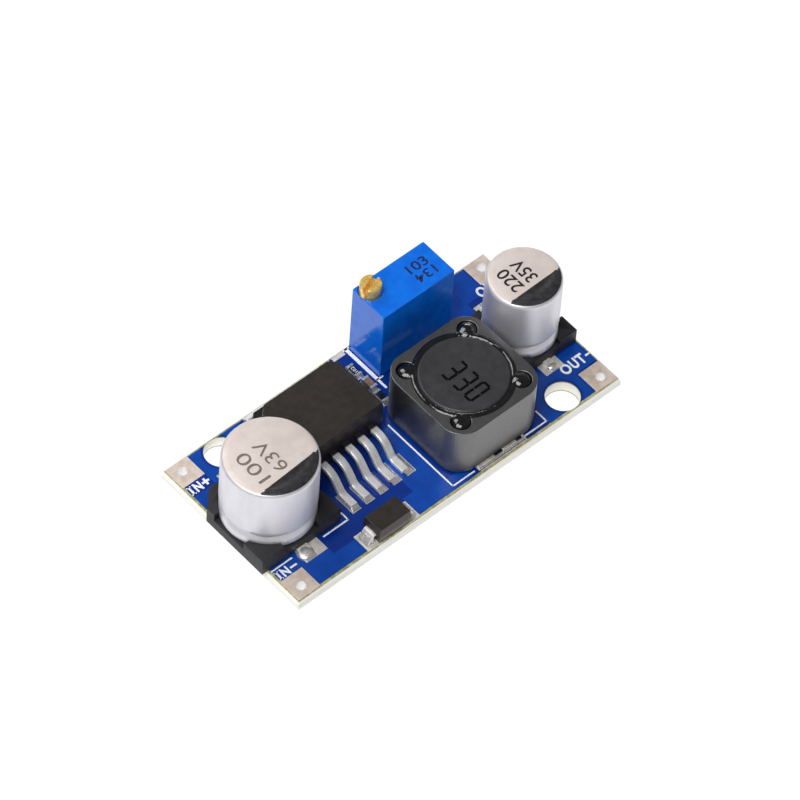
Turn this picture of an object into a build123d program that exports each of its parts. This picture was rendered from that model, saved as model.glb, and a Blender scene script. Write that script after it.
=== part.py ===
from build123d import *
from math import atan, degrees, pi, radians, sin
import os

os.makedirs("parts", exist_ok=True)

# Printed circuit board, snapped out of a panel along scored lines
board_length = 43.5
board_width = 21.0
board_thickness = 1.6
score_depth = 0.45
score_width = 0.25
land_thickness = 0.05

# Wire terminals, plated through at the four corners
terminal_size = 2.86
terminal_drill = 1.2
terminal_bore = 1.0
terminal_inset_x = 1.55
terminal_inset_y = 1.45

# Mounting holes on opposite corners
mounting_hole = 3.7
mounting_inset_x = 6.15
mounting_inset_y = 2.1

# Switching regulator in a five-lead surface-mount power package
regulator_x = -6.45
regulator_front_y = 0.2
regulator_width = 10.4
regulator_depth = 7.7
regulator_height = 4.4
regulator_draft = 3.0
regulator_corner_cut = 0.9
ejector_mark = 1.0
ejector_mark_depth = 0.1
ejector_mark_inset = 1.15
lead_pitch = 1.7
lead_width = 0.82
lead_thickness = 0.5
lead_plane = 2.1
lead_bend_radius = 0.4
lead_shoulder = 2.0
lead_slope_run = 1.6
lead_foot = 1.9
lead_root = 1.5
tab_width = 9.9
tab_thickness = 1.27
tab_inner = 2.4
tab_overhang = 1.45
tab_corner_cut = 0.8

# Lands that the regulator is soldered to
lead_land_pitch = 1.83
lead_land_shift = 0.22
lead_land_width = 1.12
lead_land_toe = 0.5
lead_land_heel = 0.3
tab_land_margin = 0.15
tab_land_edge_gap = 0.05

# Shielded power inductor
inductor_x = 6.05
inductor_y = -3.47
shield_side = 12.0
shield_corner = 2.6
shield_height = 6.5
shield_bore = 10.4
potting_pocket = 2.1
potting_pocket_offset = 4.1
potting_pocket_depth = 1.2
potting_dip = 0.1
core_flange = 9.5
core_flange_thickness = 1.3
core_post = 4.6
core_rise = 0.15
core_bottom_gap = 0.05
core_edge = 0.15
winding_diameter = 8.8
strap_width = 6.2
strap_reach = 0.2
strap_under = 1.7
strap_thickness = 0.2
strap_notch = 0.75
strap_notch_depth = 0.15
strap_land_reach = 0.45
strap_land_edge_gap = 0.33
strap_land_side = 0.1

# Electrolytic capacitors, standing on moulded bases with chamfered plus corners
input_capacitor = dict(x=-17.15, y=-0.45, can=10.0, base=10.3, height=10.2, lead=1.3, cut=1.8,
                       corner_height=2.15, corner_reach=2.9, land=2.8, land_shift=0.6, land_reach=6.9)
output_capacitor = dict(x=17.2, y=0.07, can=7.95, base=8.3, height=10.2, lead=0.9, cut=1.4,
                        corner_height=1.85, corner_reach=2.3, land=2.4, land_shift=0.03, land_reach=5.6)
base_plate = 1.2
can_gap = 0.06
can_shoulder = 0.7
can_foot = 0.25
crimp_height = 1.65
crimp_depth = 0.38
crimp_width = 1.2
crimp_floor = 0.3
capacitor_lead_thickness = 0.3
capacitor_lead_reach = 0.65
capacitor_lead_wire = 0.7
capacitor_lead_inset = 1.2

# Catch diode in a moulded case with two wrapped leads
diode_x = -8.85
diode_y = -9.05
diode_length = 4.3
diode_width = 2.6
diode_height = 2.15
diode_draft = 7.0
diode_span = 5.2
diode_lead_width = 1.45
diode_lead_thickness = 0.2
diode_lead_plane = 1.1
diode_lead_root = 0.6
diode_foot = 1.15
diode_land_reach = 0.85
diode_land_under = 0.35
diode_land_width = 2.3

# Multi-turn trimmer, screw on top near one corner, three pins below
trimmer_left_x = 2.77
trimmer_far_y = 9.97
trimmer_length = 9.55
trimmer_depth = 4.8
trimmer_height = 9.83
trimmer_standoff = 0.25
trimmer_wall = 0.75
trimmer_front_wall = 0.55
trimmer_roof = 2.6
trimmer_edge = 0.1
seal_thickness = 1.0
pin_diameter = 0.5
pin_pitch = 2.54
pin_drill = 0.9
pin_land = 1.7
pin_tail = 0.9
pin_rise = 1.7
element_thickness = 0.8

# Adjusting screw and worm drive inside the trimmer
screw_inset = 1.27
screw_head = 2.3
screw_head_height = 1.3
screw_head_edge = 0.15
screw_slot_width = 0.55
screw_slot_depth = 0.75
screw_slot_angle = 19.0
screw_recess = 2.6
screw_recess_depth = 0.35
running_gap = 0.04
seal_groove = 1.2
seal_ring_height = 0.5
seal_ring_drop = 1.4
wheel_teeth = 33
wheel_radius = 2.8
wheel_width = 1.1
wheel_gap = 0.15
tooth_addendum = 0.1
tooth_dedendum = 0.2
tooth_tip = 0.08
tooth_root = 0.36
thread_depth = 0.3
thread_turns = 4
axle_diameter = 1.4
axle_socket = 0.3
axle_end_gap = 0.1
wiper_thickness = 0.12
wiper_width = 0.8
wiper_track = 2.1
wiper_hub = 0.5
wiper_gap = 0.05

# Chip resistors and a chip capacitor in one row beside the trimmer
chip_x = 1.25
chip_length = 1.6
chip_width = 0.8
chip_cap = 0.3
chip_cap_skin = 0.03
resistor_height = 0.45
chip_capacitor_height = 0.8
chip_land_length = 0.85
chip_land_reach = 0.25
chip_land_side = 0.05
chips = {
    "feedback_resistor": (7.35, resistor_height),
    "compensation_capacitor": (5.05, chip_capacitor_height),
    "divider_resistor": (3.2, resistor_height),
}
test_land_x = 1.33
test_land_length = 1.55
test_land_width = 0.65

# Solder fillets
solder_lead_height = 0.35
solder_tab_height = 0.6
solder_tab_reach = 0.85
solder_chip_height = 0.3
solder_strap_height = 0.15
solder_diode_height = 0.9
solder_diode_reach = 0.68
solder_diode_crest = 0.15
solder_lap = 0.02
solder_cone_base = 1.6
solder_cone_top = 0.7
solder_cone_height = 0.6

# Places that follow from the sizes above
board_top = board_thickness
land_top = board_top + land_thickness
half_length = board_length / 2
half_width = board_width / 2
edge_y = half_width - score_width
mounting_x = half_length - mounting_inset_x
mounting_y = half_width - mounting_inset_y
mounting_places = [(-mounting_x, mounting_y), (mounting_x, -mounting_y)]
terminal_x = half_length - terminal_inset_x
terminal_y = half_width - terminal_inset_y
terminal_pad_x = half_length - score_width - terminal_size / 2
terminal_pad_y = edge_y - terminal_size / 2
trimmer_x = trimmer_left_x + trimmer_length / 2
trimmer_y = trimmer_far_y - trimmer_depth / 2
pin_places = [(trimmer_x + step * pin_pitch, trimmer_y) for step in (-1, 0, 1)]
regulator_back_y = regulator_front_y + regulator_depth
regulator_mid_y = regulator_front_y + regulator_depth / 2
shoulder_y = regulator_front_y - lead_shoulder
heel_y = shoulder_y - lead_slope_run
toe_y = heel_y - lead_foot
tab_front_y = regulator_front_y + tab_inner
tab_end_y = regulator_back_y + tab_overhang
tab_land_end_y = edge_y - tab_land_edge_gap
lead_x = [regulator_x + (step - 2) * lead_pitch for step in range(5)]
lead_land_x = [regulator_x + lead_land_shift + (step - 2) * lead_land_pitch for step in range(5)]
strap_top = land_top + strap_thickness
capacitors = {"input_capacitor": input_capacitor, "output_capacitor": output_capacitor}


def block(x_low, y_low, x_high, y_high):
    with Locations(((x_low + x_high) / 2, (y_low + y_high) / 2)):
        Rectangle(x_high - x_low, y_high - y_low)


# Board with its scored rim, two mounting holes and the drillings for terminals and pins
score_taper = degrees(atan(score_width / score_depth))
with BuildPart() as circuit_board:
    with BuildSketch(Plane.XY.offset(score_depth)):
        Rectangle(board_length, board_width)
    extrude(amount=board_thickness - 2 * score_depth)
    extrude(circuit_board.faces().sort_by(Axis.Z)[-1], amount=score_depth, taper=score_taper)
    extrude(circuit_board.faces().sort_by(Axis.Z)[0], amount=score_depth, taper=score_taper)
    with BuildSketch():
        with Locations(*mounting_places):
            Circle(mounting_hole / 2)
        with Locations(*[(sx * terminal_x, sy * terminal_y) for sx in (-1, 1) for sy in (-1, 1)]):
            Circle(terminal_drill / 2)
        with Locations(*pin_places):
            Circle(pin_drill / 2)
    extrude(amount=board_thickness, mode=Mode.SUBTRACT)
circuit_board.part.label = "circuit_board"
export_step(circuit_board.part, "parts/circuit_board.step")

# Corner terminals: a square land on each face joined by a plated barrel
terminals = {
    "input_plus_terminal": (-1, 1),
    "input_minus_terminal": (-1, -1),
    "output_plus_terminal": (1, 1),
    "output_minus_terminal": (1, -1),
}
for name, (side_x, side_y) in terminals.items():
    with BuildPart() as terminal:
        for level in (-land_thickness, board_top):
            with BuildSketch(Plane.XY.offset(level)):
                with Locations((side_x * terminal_pad_x, side_y * terminal_pad_y)):
                    Rectangle(terminal_size, terminal_size)
            extrude(amount=land_thickness)
        with BuildSketch(Plane.XY.offset(-land_thickness)):
            with Locations((side_x * terminal_x, side_y * terminal_y)):
                Circle(terminal_drill / 2)
        extrude(amount=board_thickness + 2 * land_thickness)
        with BuildSketch(Plane.XY.offset(-land_thickness)):
            with Locations((side_x * terminal_x, side_y * terminal_y)):
                Circle(terminal_bore / 2)
        extrude(amount=board_thickness + 2 * land_thickness, mode=Mode.SUBTRACT)
    terminal.part.label = name
    export_step(terminal.part, f"parts/{name}.step")

# Tinned lands on the top face, and the ring lands of the trimmer pins on the underside
with BuildPart() as surface_lands:
    with BuildSketch(Plane.XY.offset(board_top)):
        for x in lead_land_x:
            block(x - lead_land_width / 2, toe_y - lead_land_toe, x + lead_land_width / 2, heel_y + lead_land_heel)
        tab_land_x = regulator_x + lead_land_shift
        tab_land_half = tab_width / 2 + tab_land_margin
        block(tab_land_x - tab_land_half, tab_front_y, tab_land_x + tab_land_half, tab_land_end_y)
        strap_land_half = strap_width / 2 + strap_land_side
        block(inductor_x - strap_land_half, strap_land_edge_gap - edge_y,
              inductor_x + strap_land_half, inductor_y - shield_side / 2 + strap_under)
        block(inductor_x - strap_land_half, inductor_y + shield_side / 2 - strap_under,
              inductor_x + strap_land_half, inductor_y + shield_side / 2 + strap_land_reach)
        for side in (-1, 1):
            diode_land_length = diode_land_reach + diode_foot + diode_land_under
            with Locations((diode_x + side * (diode_span / 2 + diode_land_reach - diode_land_length / 2),
                            diode_land_width / 2 - edge_y)):
                Rectangle(diode_land_length, diode_land_width)
            for unit in capacitors.values():
                with Locations((unit["x"] + unit["land_shift"],
                                unit["y"] + side * (unit["land_reach"] + capacitor_lead_inset) / 2)):
                    Rectangle(unit["land"], unit["land_reach"] - capacitor_lead_inset)
            for y, height in chips.values():
                with Locations((chip_x, y + side * (chip_length / 2 + chip_land_reach - chip_land_length / 2))):
                    Rectangle(chip_width + 2 * chip_land_side, chip_land_length)
        with Locations((test_land_x, edge_y - test_land_width / 2)):
            Rectangle(test_land_length, test_land_width)
    extrude(amount=land_thickness)
    with BuildSketch(Plane.XY.offset(-land_thickness)):
        with Locations(*pin_places):
            Circle(pin_land / 2)
            Circle(pin_drill / 2, mode=Mode.SUBTRACT)
    extrude(amount=land_thickness)
surface_lands.part.label = "surface_lands"
export_step(surface_lands.part, "parts/surface_lands.step")

# Regulator leads: flat strips that leave the case, step down and stand on their feet
lead_level = land_top + lead_plane
foot_level = land_top + lead_thickness / 2
foot_run = [(toe_y, foot_level), (heel_y, foot_level), (shoulder_y, lead_level)]
regulator_leads = []
for number in (1, 2, 4, 5):
    with BuildPart() as lead:
        with BuildSketch(Plane.YZ.offset(lead_x[number - 1])):
            with BuildLine():
                FilletPolyline(*foot_run, (regulator_front_y + lead_root, lead_level), radius=lead_bend_radius)
            trace(line_width=lead_thickness)
        extrude(amount=lead_width / 2, both=True)
    lead.part.label = f"regulator_lead_{number}"
    export_step(lead.part, f"parts/regulator_lead_{number}.step")
    regulator_leads.append(lead.part)

# Heat tab and the middle lead, stamped from one strip
riser_y = tab_front_y + lead_thickness
with BuildPart() as regulator_tab:
    with BuildSketch(Plane.XY.offset(land_top)) as tab_outline:
        block(regulator_x - tab_width / 2, tab_front_y, regulator_x + tab_width / 2, tab_end_y)
        chamfer(tab_outline.vertices().group_by(Axis.Y)[-1], length=tab_corner_cut)
    extrude(amount=tab_thickness)
    with BuildSketch(Plane.YZ.offset(lead_x[2])):
        with BuildLine():
            FilletPolyline(*foot_run, (riser_y, lead_level), (riser_y, land_top + tab_thickness / 2),
                           radius=lead_bend_radius)
        trace(line_width=lead_thickness)
    extrude(amount=lead_width / 2, both=True)
regulator_tab.part.label = "regulator_tab"
export_step(regulator_tab.part, "parts/regulator_tab.step")

# Regulator case: moulded in two drafted halves around the leads and the tab
with BuildPart() as regulator_body:
    for direction, rise in (((0, 0, 1), regulator_height - lead_plane), ((0, 0, -1), lead_plane)):
        with BuildSketch(Plane.XY.offset(lead_level)) as case_outline:
            with Locations((regulator_x, regulator_mid_y)):
                Rectangle(regulator_width, regulator_depth)
            chamfer(case_outline.vertices().group_by(Axis.Y)[-1], length=regulator_corner_cut)
        extrude(amount=rise, dir=direction, taper=regulator_draft)
    for held in (*regulator_leads, regulator_tab.part):
        add(held, mode=Mode.SUBTRACT)
    with BuildSketch(Plane.XY.offset(land_top + regulator_height)):
        with Locations((regulator_x - regulator_width / 2 + ejector_mark_inset,
                        regulator_back_y - ejector_mark_inset)):
            Circle(ejector_mark / 2)
    extrude(amount=-ejector_mark_depth, mode=Mode.SUBTRACT)
regulator_body.part.label = "regulator_body"
export_step(regulator_body.part, "parts/regulator_body.step")

# Inductor feet: two straps that the ferrite stands on, notched where the wire ends are soldered
for name, side in (("inductor_front_strap", -1), ("inductor_back_strap", 1)):
    outer_y = inductor_y + side * (shield_side / 2 + strap_reach)
    notch_y = outer_y - side * strap_notch_depth / 2
    with BuildPart() as strap:
        with BuildSketch(Plane.XY.offset(land_top)):
            with Locations((inductor_x, outer_y - side * (strap_reach + strap_under) / 2)):
                Rectangle(strap_width, strap_reach + strap_under)
            with Locations((inductor_x, notch_y), (inductor_x + (strap_width - strap_notch) / 2, notch_y)):
                Rectangle(strap_notch, strap_notch_depth, mode=Mode.SUBTRACT)
        extrude(amount=strap_thickness)
    strap.part.label = name
    export_step(strap.part, f"parts/{name}.step")

# Square ferrite shield, bored for the core, with four pockets that hold the adhesive
pocket_places = [(sx * potting_pocket_offset, sy * potting_pocket_offset) for sx in (-1, 1) for sy in (-1, 1)]
inductor_foot = Plane((inductor_x, inductor_y, strap_top))
inductor_axis = Axis((inductor_x, inductor_y, 0), (0, 0, 1))
with BuildPart() as inductor_shield:
    with BuildSketch(inductor_foot):
        RectangleRounded(shield_side, shield_side, shield_corner)
        Circle(shield_bore / 2, mode=Mode.SUBTRACT)
    extrude(amount=shield_height)
    with BuildSketch(inductor_foot.offset(shield_height)):
        with Locations(*pocket_places):
            Circle(potting_pocket / 2)
    extrude(amount=-potting_pocket_depth, mode=Mode.SUBTRACT)
inductor_shield.part.label = "inductor_shield"
export_step(inductor_shield.part, "parts/inductor_shield.step")

# Drum core: a post between two flanges, turned about the upright axis
core_height = shield_height + core_rise - core_bottom_gap
flange_radius = core_flange / 2
post_radius = core_post / 2
core_neck = core_height - core_flange_thickness
core_section = Plane((inductor_x, inductor_y, strap_top + core_bottom_gap), x_dir=(1, 0, 0), z_dir=(0, -1, 0))
with BuildPart() as inductor_core:
    with BuildSketch(core_section):
        with BuildLine():
            Polyline((0, 0), (flange_radius, 0), (flange_radius, core_flange_thickness),
                     (post_radius, core_flange_thickness), (post_radius, core_neck),
                     (flange_radius, core_neck), (flange_radius, core_height - core_edge),
                     (flange_radius - core_edge, core_height), (0, core_height), close=True)
        make_face()
    revolve(axis=inductor_axis)
inductor_core.part.label = "inductor_core"
export_step(inductor_core.part, "parts/inductor_core.step")

# Copper winding that fills the window of the core
with BuildPart() as inductor_winding:
    with BuildSketch(inductor_foot.offset(core_bottom_gap + core_flange_thickness)):
        Circle(winding_diameter / 2)
        Circle(post_radius, mode=Mode.SUBTRACT)
    extrude(amount=core_neck - core_flange_thickness)
inductor_winding.part.label = "inductor_winding"
export_step(inductor_winding.part, "parts/inductor_winding.step")

# Adhesive that fixes the core in the shield and fills the four pockets
with BuildPart() as inductor_potting:
    with BuildSketch(inductor_foot.offset(shield_height - potting_pocket_depth)):
        Circle(shield_bore / 2)
        with Locations(*pocket_places):
            Circle(potting_pocket / 2)
        Circle(flange_radius, mode=Mode.SUBTRACT)
    extrude(amount=potting_pocket_depth - potting_dip)
inductor_potting.part.label = "inductor_potting"
export_step(inductor_potting.part, "parts/inductor_potting.step")

# Capacitors: flat leads in slots of the moulded base, and a rolled can that stands on its plate
for name, unit in capacitors.items():
    foot = Plane((unit["x"], unit["y"], land_top))
    half_base = unit["base"] / 2
    can_radius = unit["can"] / 2
    lead_outer = half_base + capacitor_lead_reach
    held_leads = []
    for suffix, side in (("plus", 1), ("minus", -1)):
        with BuildPart() as flat_lead:
            with BuildSketch(foot):
                with Locations((0, side * (lead_outer + capacitor_lead_inset) / 2)):
                    Rectangle(unit["lead"], lead_outer - capacitor_lead_inset)
            extrude(amount=capacitor_lead_thickness)
            with BuildSketch(foot):
                with Locations((0, side * (capacitor_lead_inset + capacitor_lead_wire / 2))):
                    Circle(capacitor_lead_wire / 2)
            extrude(amount=base_plate)
        flat_lead.part.label = f"{name}_{suffix}_lead"
        export_step(flat_lead.part, f"parts/{name}_{suffix}_lead.step")
        held_leads.append(flat_lead.part)
    with BuildPart() as base:
        with BuildSketch(foot) as plate_outline:
            Rectangle(unit["base"], unit["base"])
            chamfer(plate_outline.vertices().group_by(Axis.Y)[-1], length=unit["cut"])
        extrude(amount=base_plate)
        with BuildSketch(foot.offset(base_plate)) as corner_outline:
            Rectangle(unit["base"], unit["base"])
            chamfer(corner_outline.vertices().group_by(Axis.Y)[-1], length=unit["cut"])
            Circle(can_radius + can_gap, mode=Mode.SUBTRACT)
            Rectangle(unit["base"], unit["base"] - 2 * unit["corner_reach"], mode=Mode.SUBTRACT)
            Rectangle(unit["base"] - 2 * unit["corner_reach"], unit["base"], mode=Mode.SUBTRACT)
        extrude(amount=unit["corner_height"] - base_plate)
        for held in held_leads:
            add(held, mode=Mode.SUBTRACT)
    base.part.label = f"{name}_base"
    export_step(base.part, f"parts/{name}_base.step")
    neck = can_radius - crimp_depth
    can_height = unit["height"] - base_plate
    can_section = Plane((unit["x"], unit["y"], land_top + base_plate), x_dir=(1, 0, 0), z_dir=(0, -1, 0))
    with BuildPart() as can:
        with BuildSketch(can_section) as can_profile:
            with BuildLine():
                Polyline((0, 0), (can_radius - can_foot, 0), (can_radius, can_foot),
                         (can_radius, crimp_height - crimp_width / 2), (neck, crimp_height - crimp_floor / 2),
                         (neck, crimp_height + crimp_floor / 2), (can_radius, crimp_height + crimp_width / 2),
                         (can_radius, can_height), (0, can_height), close=True)
            make_face()
            shoulder = can_profile.vertices().group_by(Axis.Y)[-1].sort_by(Axis.X)[-1]
            fillet(shoulder, radius=can_shoulder)
        revolve(axis=Axis((unit["x"], unit["y"], 0), (0, 0, 1)))
    can.part.label = f"{name}_can"
    export_step(can.part, f"parts/{name}_can.step")

# Diode leads wrap from the ends of the case down and under it
diode_level = land_top + diode_lead_plane
diode_leads = []
for name, side in (("diode_cathode_lead", -1), ("diode_anode_lead", 1)):
    drop_x = diode_x + side * (diode_span - diode_lead_thickness) / 2
    root_x = diode_x + side * (diode_length / 2 - diode_lead_root)
    foot_x = diode_x + side * (diode_span / 2 - diode_foot)
    foot_z = land_top + diode_lead_thickness / 2
    with BuildPart() as wrapped_lead:
        with BuildSketch(Plane.XZ.offset(-diode_y)):
            with BuildLine():
                FilletPolyline((root_x, diode_level), (drop_x, diode_level), (drop_x, foot_z), (foot_x, foot_z),
                               radius=diode_lead_thickness)
            trace(line_width=diode_lead_thickness)
        extrude(amount=diode_lead_width / 2, both=True)
    wrapped_lead.part.label = name
    export_step(wrapped_lead.part, f"parts/{name}.step")
    diode_leads.append(wrapped_lead.part)

# Diode case, drafted away from the parting plane, standing on the wrapped feet
with BuildPart() as diode_body:
    for direction, rise in (((0, 0, 1), diode_height - diode_lead_plane),
                            ((0, 0, -1), diode_lead_plane - diode_lead_thickness)):
        with BuildSketch(Plane((diode_x, diode_y, diode_level))):
            Rectangle(diode_length, diode_width)
        extrude(amount=rise, dir=direction, taper=diode_draft)
    for held in diode_leads:
        add(held, mode=Mode.SUBTRACT)
diode_body.part.label = "diode_body"
export_step(diode_body.part, "parts/diode_body.step")

# Chip parts: a ceramic block with a metal cap folded over each end
for name, (y, height) in chips.items():
    with BuildPart() as chip_caps:
        with BuildSketch(Plane((chip_x, y, land_top))):
            for side in (-1, 1):
                with Locations((0, side * (chip_length - chip_cap) / 2)):
                    Rectangle(chip_width, chip_cap)
        extrude(amount=height)
        with BuildSketch(Plane((chip_x, y, land_top + chip_cap_skin))):
            Rectangle(chip_width - 2 * chip_cap_skin, chip_length - 2 * chip_cap_skin)
        extrude(amount=height - 2 * chip_cap_skin, mode=Mode.SUBTRACT)
    chip_caps.part.label = f"{name}_caps"
    export_step(chip_caps.part, f"parts/{name}_caps.step")
    with BuildPart() as chip_block:
        with BuildSketch(Plane((chip_x, y, land_top + chip_cap_skin))):
            Rectangle(chip_width - 2 * chip_cap_skin, chip_length - 2 * chip_cap_skin)
        extrude(amount=height - 2 * chip_cap_skin)
    chip_block.part.label = f"{name}_block"
    export_step(chip_block.part, f"parts/{name}_block.step")

# Places of the worm drive
trimmer_base = board_top + trimmer_standoff
trimmer_top = trimmer_base + trimmer_height
trimmer_near_y = trimmer_far_y - trimmer_depth
screw_x = trimmer_left_x + screw_inset
screw_y = trimmer_far_y - screw_inset
wheel_tip = wheel_radius + tooth_addendum
wheel_z = trimmer_base + seal_thickness + wheel_gap + wheel_tip
worm_radius = trimmer_x - screw_x - wheel_radius
worm_throw = thread_depth / 2
thread_lead = 2 * pi * wheel_radius / wheel_teeth
thread_length = thread_turns * thread_lead
worm_top = wheel_z + thread_length / 2
worm_bottom = wheel_z - thread_length / 2
screw_bore = worm_radius + worm_throw + 1.5 * running_gap
cavity_top = trimmer_top - trimmer_roof
cavity_left = trimmer_left_x + trimmer_wall
cavity_right = trimmer_left_x + trimmer_length - trimmer_wall
cavity_near = trimmer_near_y + trimmer_front_wall
cavity_far = screw_y + wheel_width / 2 + 2 * running_gap
element_far = cavity_near + element_thickness
element_low = trimmer_base + seal_thickness / 2
axle_radius = axle_diameter / 2
wheel_plane = Plane((trimmer_x, screw_y, wheel_z), x_dir=(-1, 0, 0), z_dir=(0, 1, 0))

# Trimmer housing: a deep cup, open below, with the screw bore and the worm channel
with BuildPart() as trimmer_housing:
    with BuildSketch(Plane.XY.offset(trimmer_base)):
        with Locations((trimmer_x, trimmer_y)):
            Rectangle(trimmer_length, trimmer_depth)
    extrude(amount=trimmer_height)
    upright_edges = trimmer_housing.edges().filter_by(Axis.Z)
    top_edges = trimmer_housing.faces().sort_by(Axis.Z)[-1].edges()
    fillet(upright_edges + top_edges, radius=trimmer_edge)
    with BuildSketch(Plane.XY.offset(board_top)):
        for side in (-1, 1):
            with Locations((trimmer_x + side * (trimmer_length - trimmer_wall) / 2, trimmer_y)):
                Rectangle(trimmer_wall - 2 * trimmer_edge, trimmer_depth - 2 * trimmer_edge)
    extrude(amount=trimmer_standoff)
    with BuildSketch(Plane.XY.offset(trimmer_base)):
        block(cavity_left, cavity_near, cavity_right, cavity_far)
    extrude(amount=cavity_top - trimmer_base, mode=Mode.SUBTRACT)
    with BuildSketch(Plane((screw_x, screw_y, worm_bottom - 2 * wheel_gap))):
        Circle(screw_bore)
    extrude(amount=trimmer_top - worm_bottom + 2 * wheel_gap, mode=Mode.SUBTRACT)
    with BuildSketch(Plane((screw_x, screw_y, trimmer_top))):
        Circle(screw_recess / 2)
    extrude(amount=-screw_recess_depth, mode=Mode.SUBTRACT)
    with BuildSketch(wheel_plane.offset(cavity_far - screw_y)):
        Circle(axle_radius + running_gap)
    extrude(amount=axle_socket, mode=Mode.SUBTRACT)
trimmer_housing.part.label = "trimmer_housing"
export_step(trimmer_housing.part, "parts/trimmer_housing.step")

# Ceramic element that carries the resistive track, pierced for the axle of the wheel
with BuildPart() as trimmer_element:
    with BuildSketch(Plane.XY.offset(element_low)):
        block(cavity_left, cavity_near, cavity_right, element_far)
    extrude(amount=cavity_top - element_low)
    with BuildSketch(wheel_plane.offset(cavity_near - screw_y)):
        Circle(axle_radius + running_gap)
    extrude(amount=element_thickness, mode=Mode.SUBTRACT)
trimmer_element.part.label = "trimmer_element"
export_step(trimmer_element.part, "parts/trimmer_element.step")

# Pins: round wire with a short foot at the top that meets the element
pins = []
for number, (x, y) in enumerate(pin_places, start=1):
    with BuildPart() as pin:
        with BuildSketch(Plane((x, y, -pin_tail))):
            Circle(pin_diameter / 2)
        extrude(amount=pin_tail + board_top + pin_rise)
        with BuildSketch(Plane((x, element_far, board_top + pin_rise - pin_diameter / 2), x_dir=(-1, 0, 0),
                               z_dir=(0, 1, 0))):
            Circle(pin_diameter / 2)
        extrude(amount=y - element_far)
    pin.part.label = f"trimmer_pin_{number}"
    export_step(pin.part, f"parts/trimmer_pin_{number}.step")
    pins.append(pin.part)

# Resin that closes the bottom of the trimmer around the pins
with BuildPart() as trimmer_seal:
    with BuildSketch(Plane.XY.offset(trimmer_base)):
        block(cavity_left, cavity_near, cavity_right, cavity_far)
    extrude(amount=seal_thickness)
    for held in (*pins, trimmer_element.part):
        add(held, mode=Mode.SUBTRACT)
trimmer_seal.part.label = "trimmer_seal"
export_step(trimmer_seal.part, "parts/trimmer_seal.step")

# Brass adjusting screw: slotted head, grooved shaft and a single-start rounded worm
shaft_radius = screw_bore - 1.5 * running_gap
head_radius = screw_head / 2
groove_radius = seal_groove / 2
groove_top = trimmer_top - seal_ring_drop
groove_bottom = groove_top - seal_ring_height
head_bottom = trimmer_top - screw_recess_depth + running_gap
head_top = trimmer_top + screw_head_height
worm_circle = Edge.make_circle(worm_radius, Plane((screw_x + worm_throw, screw_y, worm_bottom)))
worm = Solid.extrude_linear_with_rotation(
    Face(Wire(worm_circle)), (screw_x, screw_y, worm_bottom), (0, 0, thread_length), 360 * thread_turns)
with BuildPart() as trimmer_screw:
    with BuildSketch(Plane((screw_x, screw_y, 0), x_dir=(1, 0, 0), z_dir=(0, -1, 0))):
        with BuildLine():
            Polyline((0, worm_top - running_gap), (worm_radius - worm_throw, worm_top - running_gap),
                     (shaft_radius, worm_top + thread_depth), (shaft_radius, groove_bottom),
                     (groove_radius, groove_bottom), (groove_radius, groove_top), (shaft_radius, groove_top),
                     (shaft_radius, head_bottom), (head_radius, head_bottom),
                     (head_radius, head_top - screw_head_edge), (head_radius - screw_head_edge, head_top),
                     (0, head_top), close=True)
        make_face()
    revolve(axis=Axis((screw_x, screw_y, 0), (0, 0, 1)))
    add(worm)
    with BuildSketch(Plane((screw_x, screw_y, head_top))):
        Rectangle(2 * screw_head, screw_slot_width, rotation=screw_slot_angle)
    extrude(amount=-screw_slot_depth, mode=Mode.SUBTRACT)
trimmer_screw.part.label = "trimmer_screw"
export_step(trimmer_screw.part, "parts/trimmer_screw.step")

# Rubber ring in the groove of the screw
with BuildPart() as trimmer_seal_ring:
    with BuildSketch(Plane((screw_x, screw_y, groove_bottom))):
        Circle(screw_bore - running_gap)
        Circle(groove_radius, mode=Mode.SUBTRACT)
    extrude(amount=seal_ring_height)
trimmer_seal_ring.part.label = "trimmer_seal_ring"
export_step(trimmer_seal_ring.part, "parts/trimmer_seal_ring.step")

# Worm wheel on its axle, with slots cut on the slant of the thread
tooth_angle = 360 / wheel_teeth
wheel_root = wheel_radius - tooth_dedendum
half_root_slot = wheel_root * sin(radians(tooth_angle / 2)) - tooth_root / 2
half_tip_slot = wheel_tip * sin(radians(tooth_angle / 2)) - tooth_tip / 2
flare = (half_tip_slot - half_root_slot) / (tooth_addendum + tooth_dedendum)
half_mouth = half_tip_slot + flare * tooth_addendum
thread_slant = degrees(atan(thread_lead / (2 * pi * worm_radius)))
with BuildPart(mode=Mode.PRIVATE) as tooth_slot:
    with BuildSketch(Plane.XY.rotated((-thread_slant, 0, 0))):
        with BuildLine():
            Polyline((-tooth_dedendum, -half_root_slot), (2 * tooth_addendum, -half_mouth),
                     (2 * tooth_addendum, half_mouth), (-tooth_dedendum, half_root_slot), close=True)
        make_face()
    extrude(amount=wheel_width, both=True)
with BuildPart(wheel_plane) as trimmer_wheel:
    with BuildSketch(wheel_plane.offset(-wheel_width / 2)):
        Circle(wheel_tip)
    extrude(amount=wheel_width)
    with PolarLocations(wheel_radius, wheel_teeth):
        add(tooth_slot.part, mode=Mode.SUBTRACT)
    axle_near = cavity_near + axle_end_gap - screw_y
    axle_far = cavity_far + axle_socket - axle_end_gap - screw_y
    with BuildSketch(wheel_plane.offset(axle_near)):
        Circle(axle_radius)
    extrude(amount=axle_far - axle_near)
trimmer_wheel.part.label = "trimmer_wheel"
export_step(trimmer_wheel.part, "parts/trimmer_wheel.step")

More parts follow.
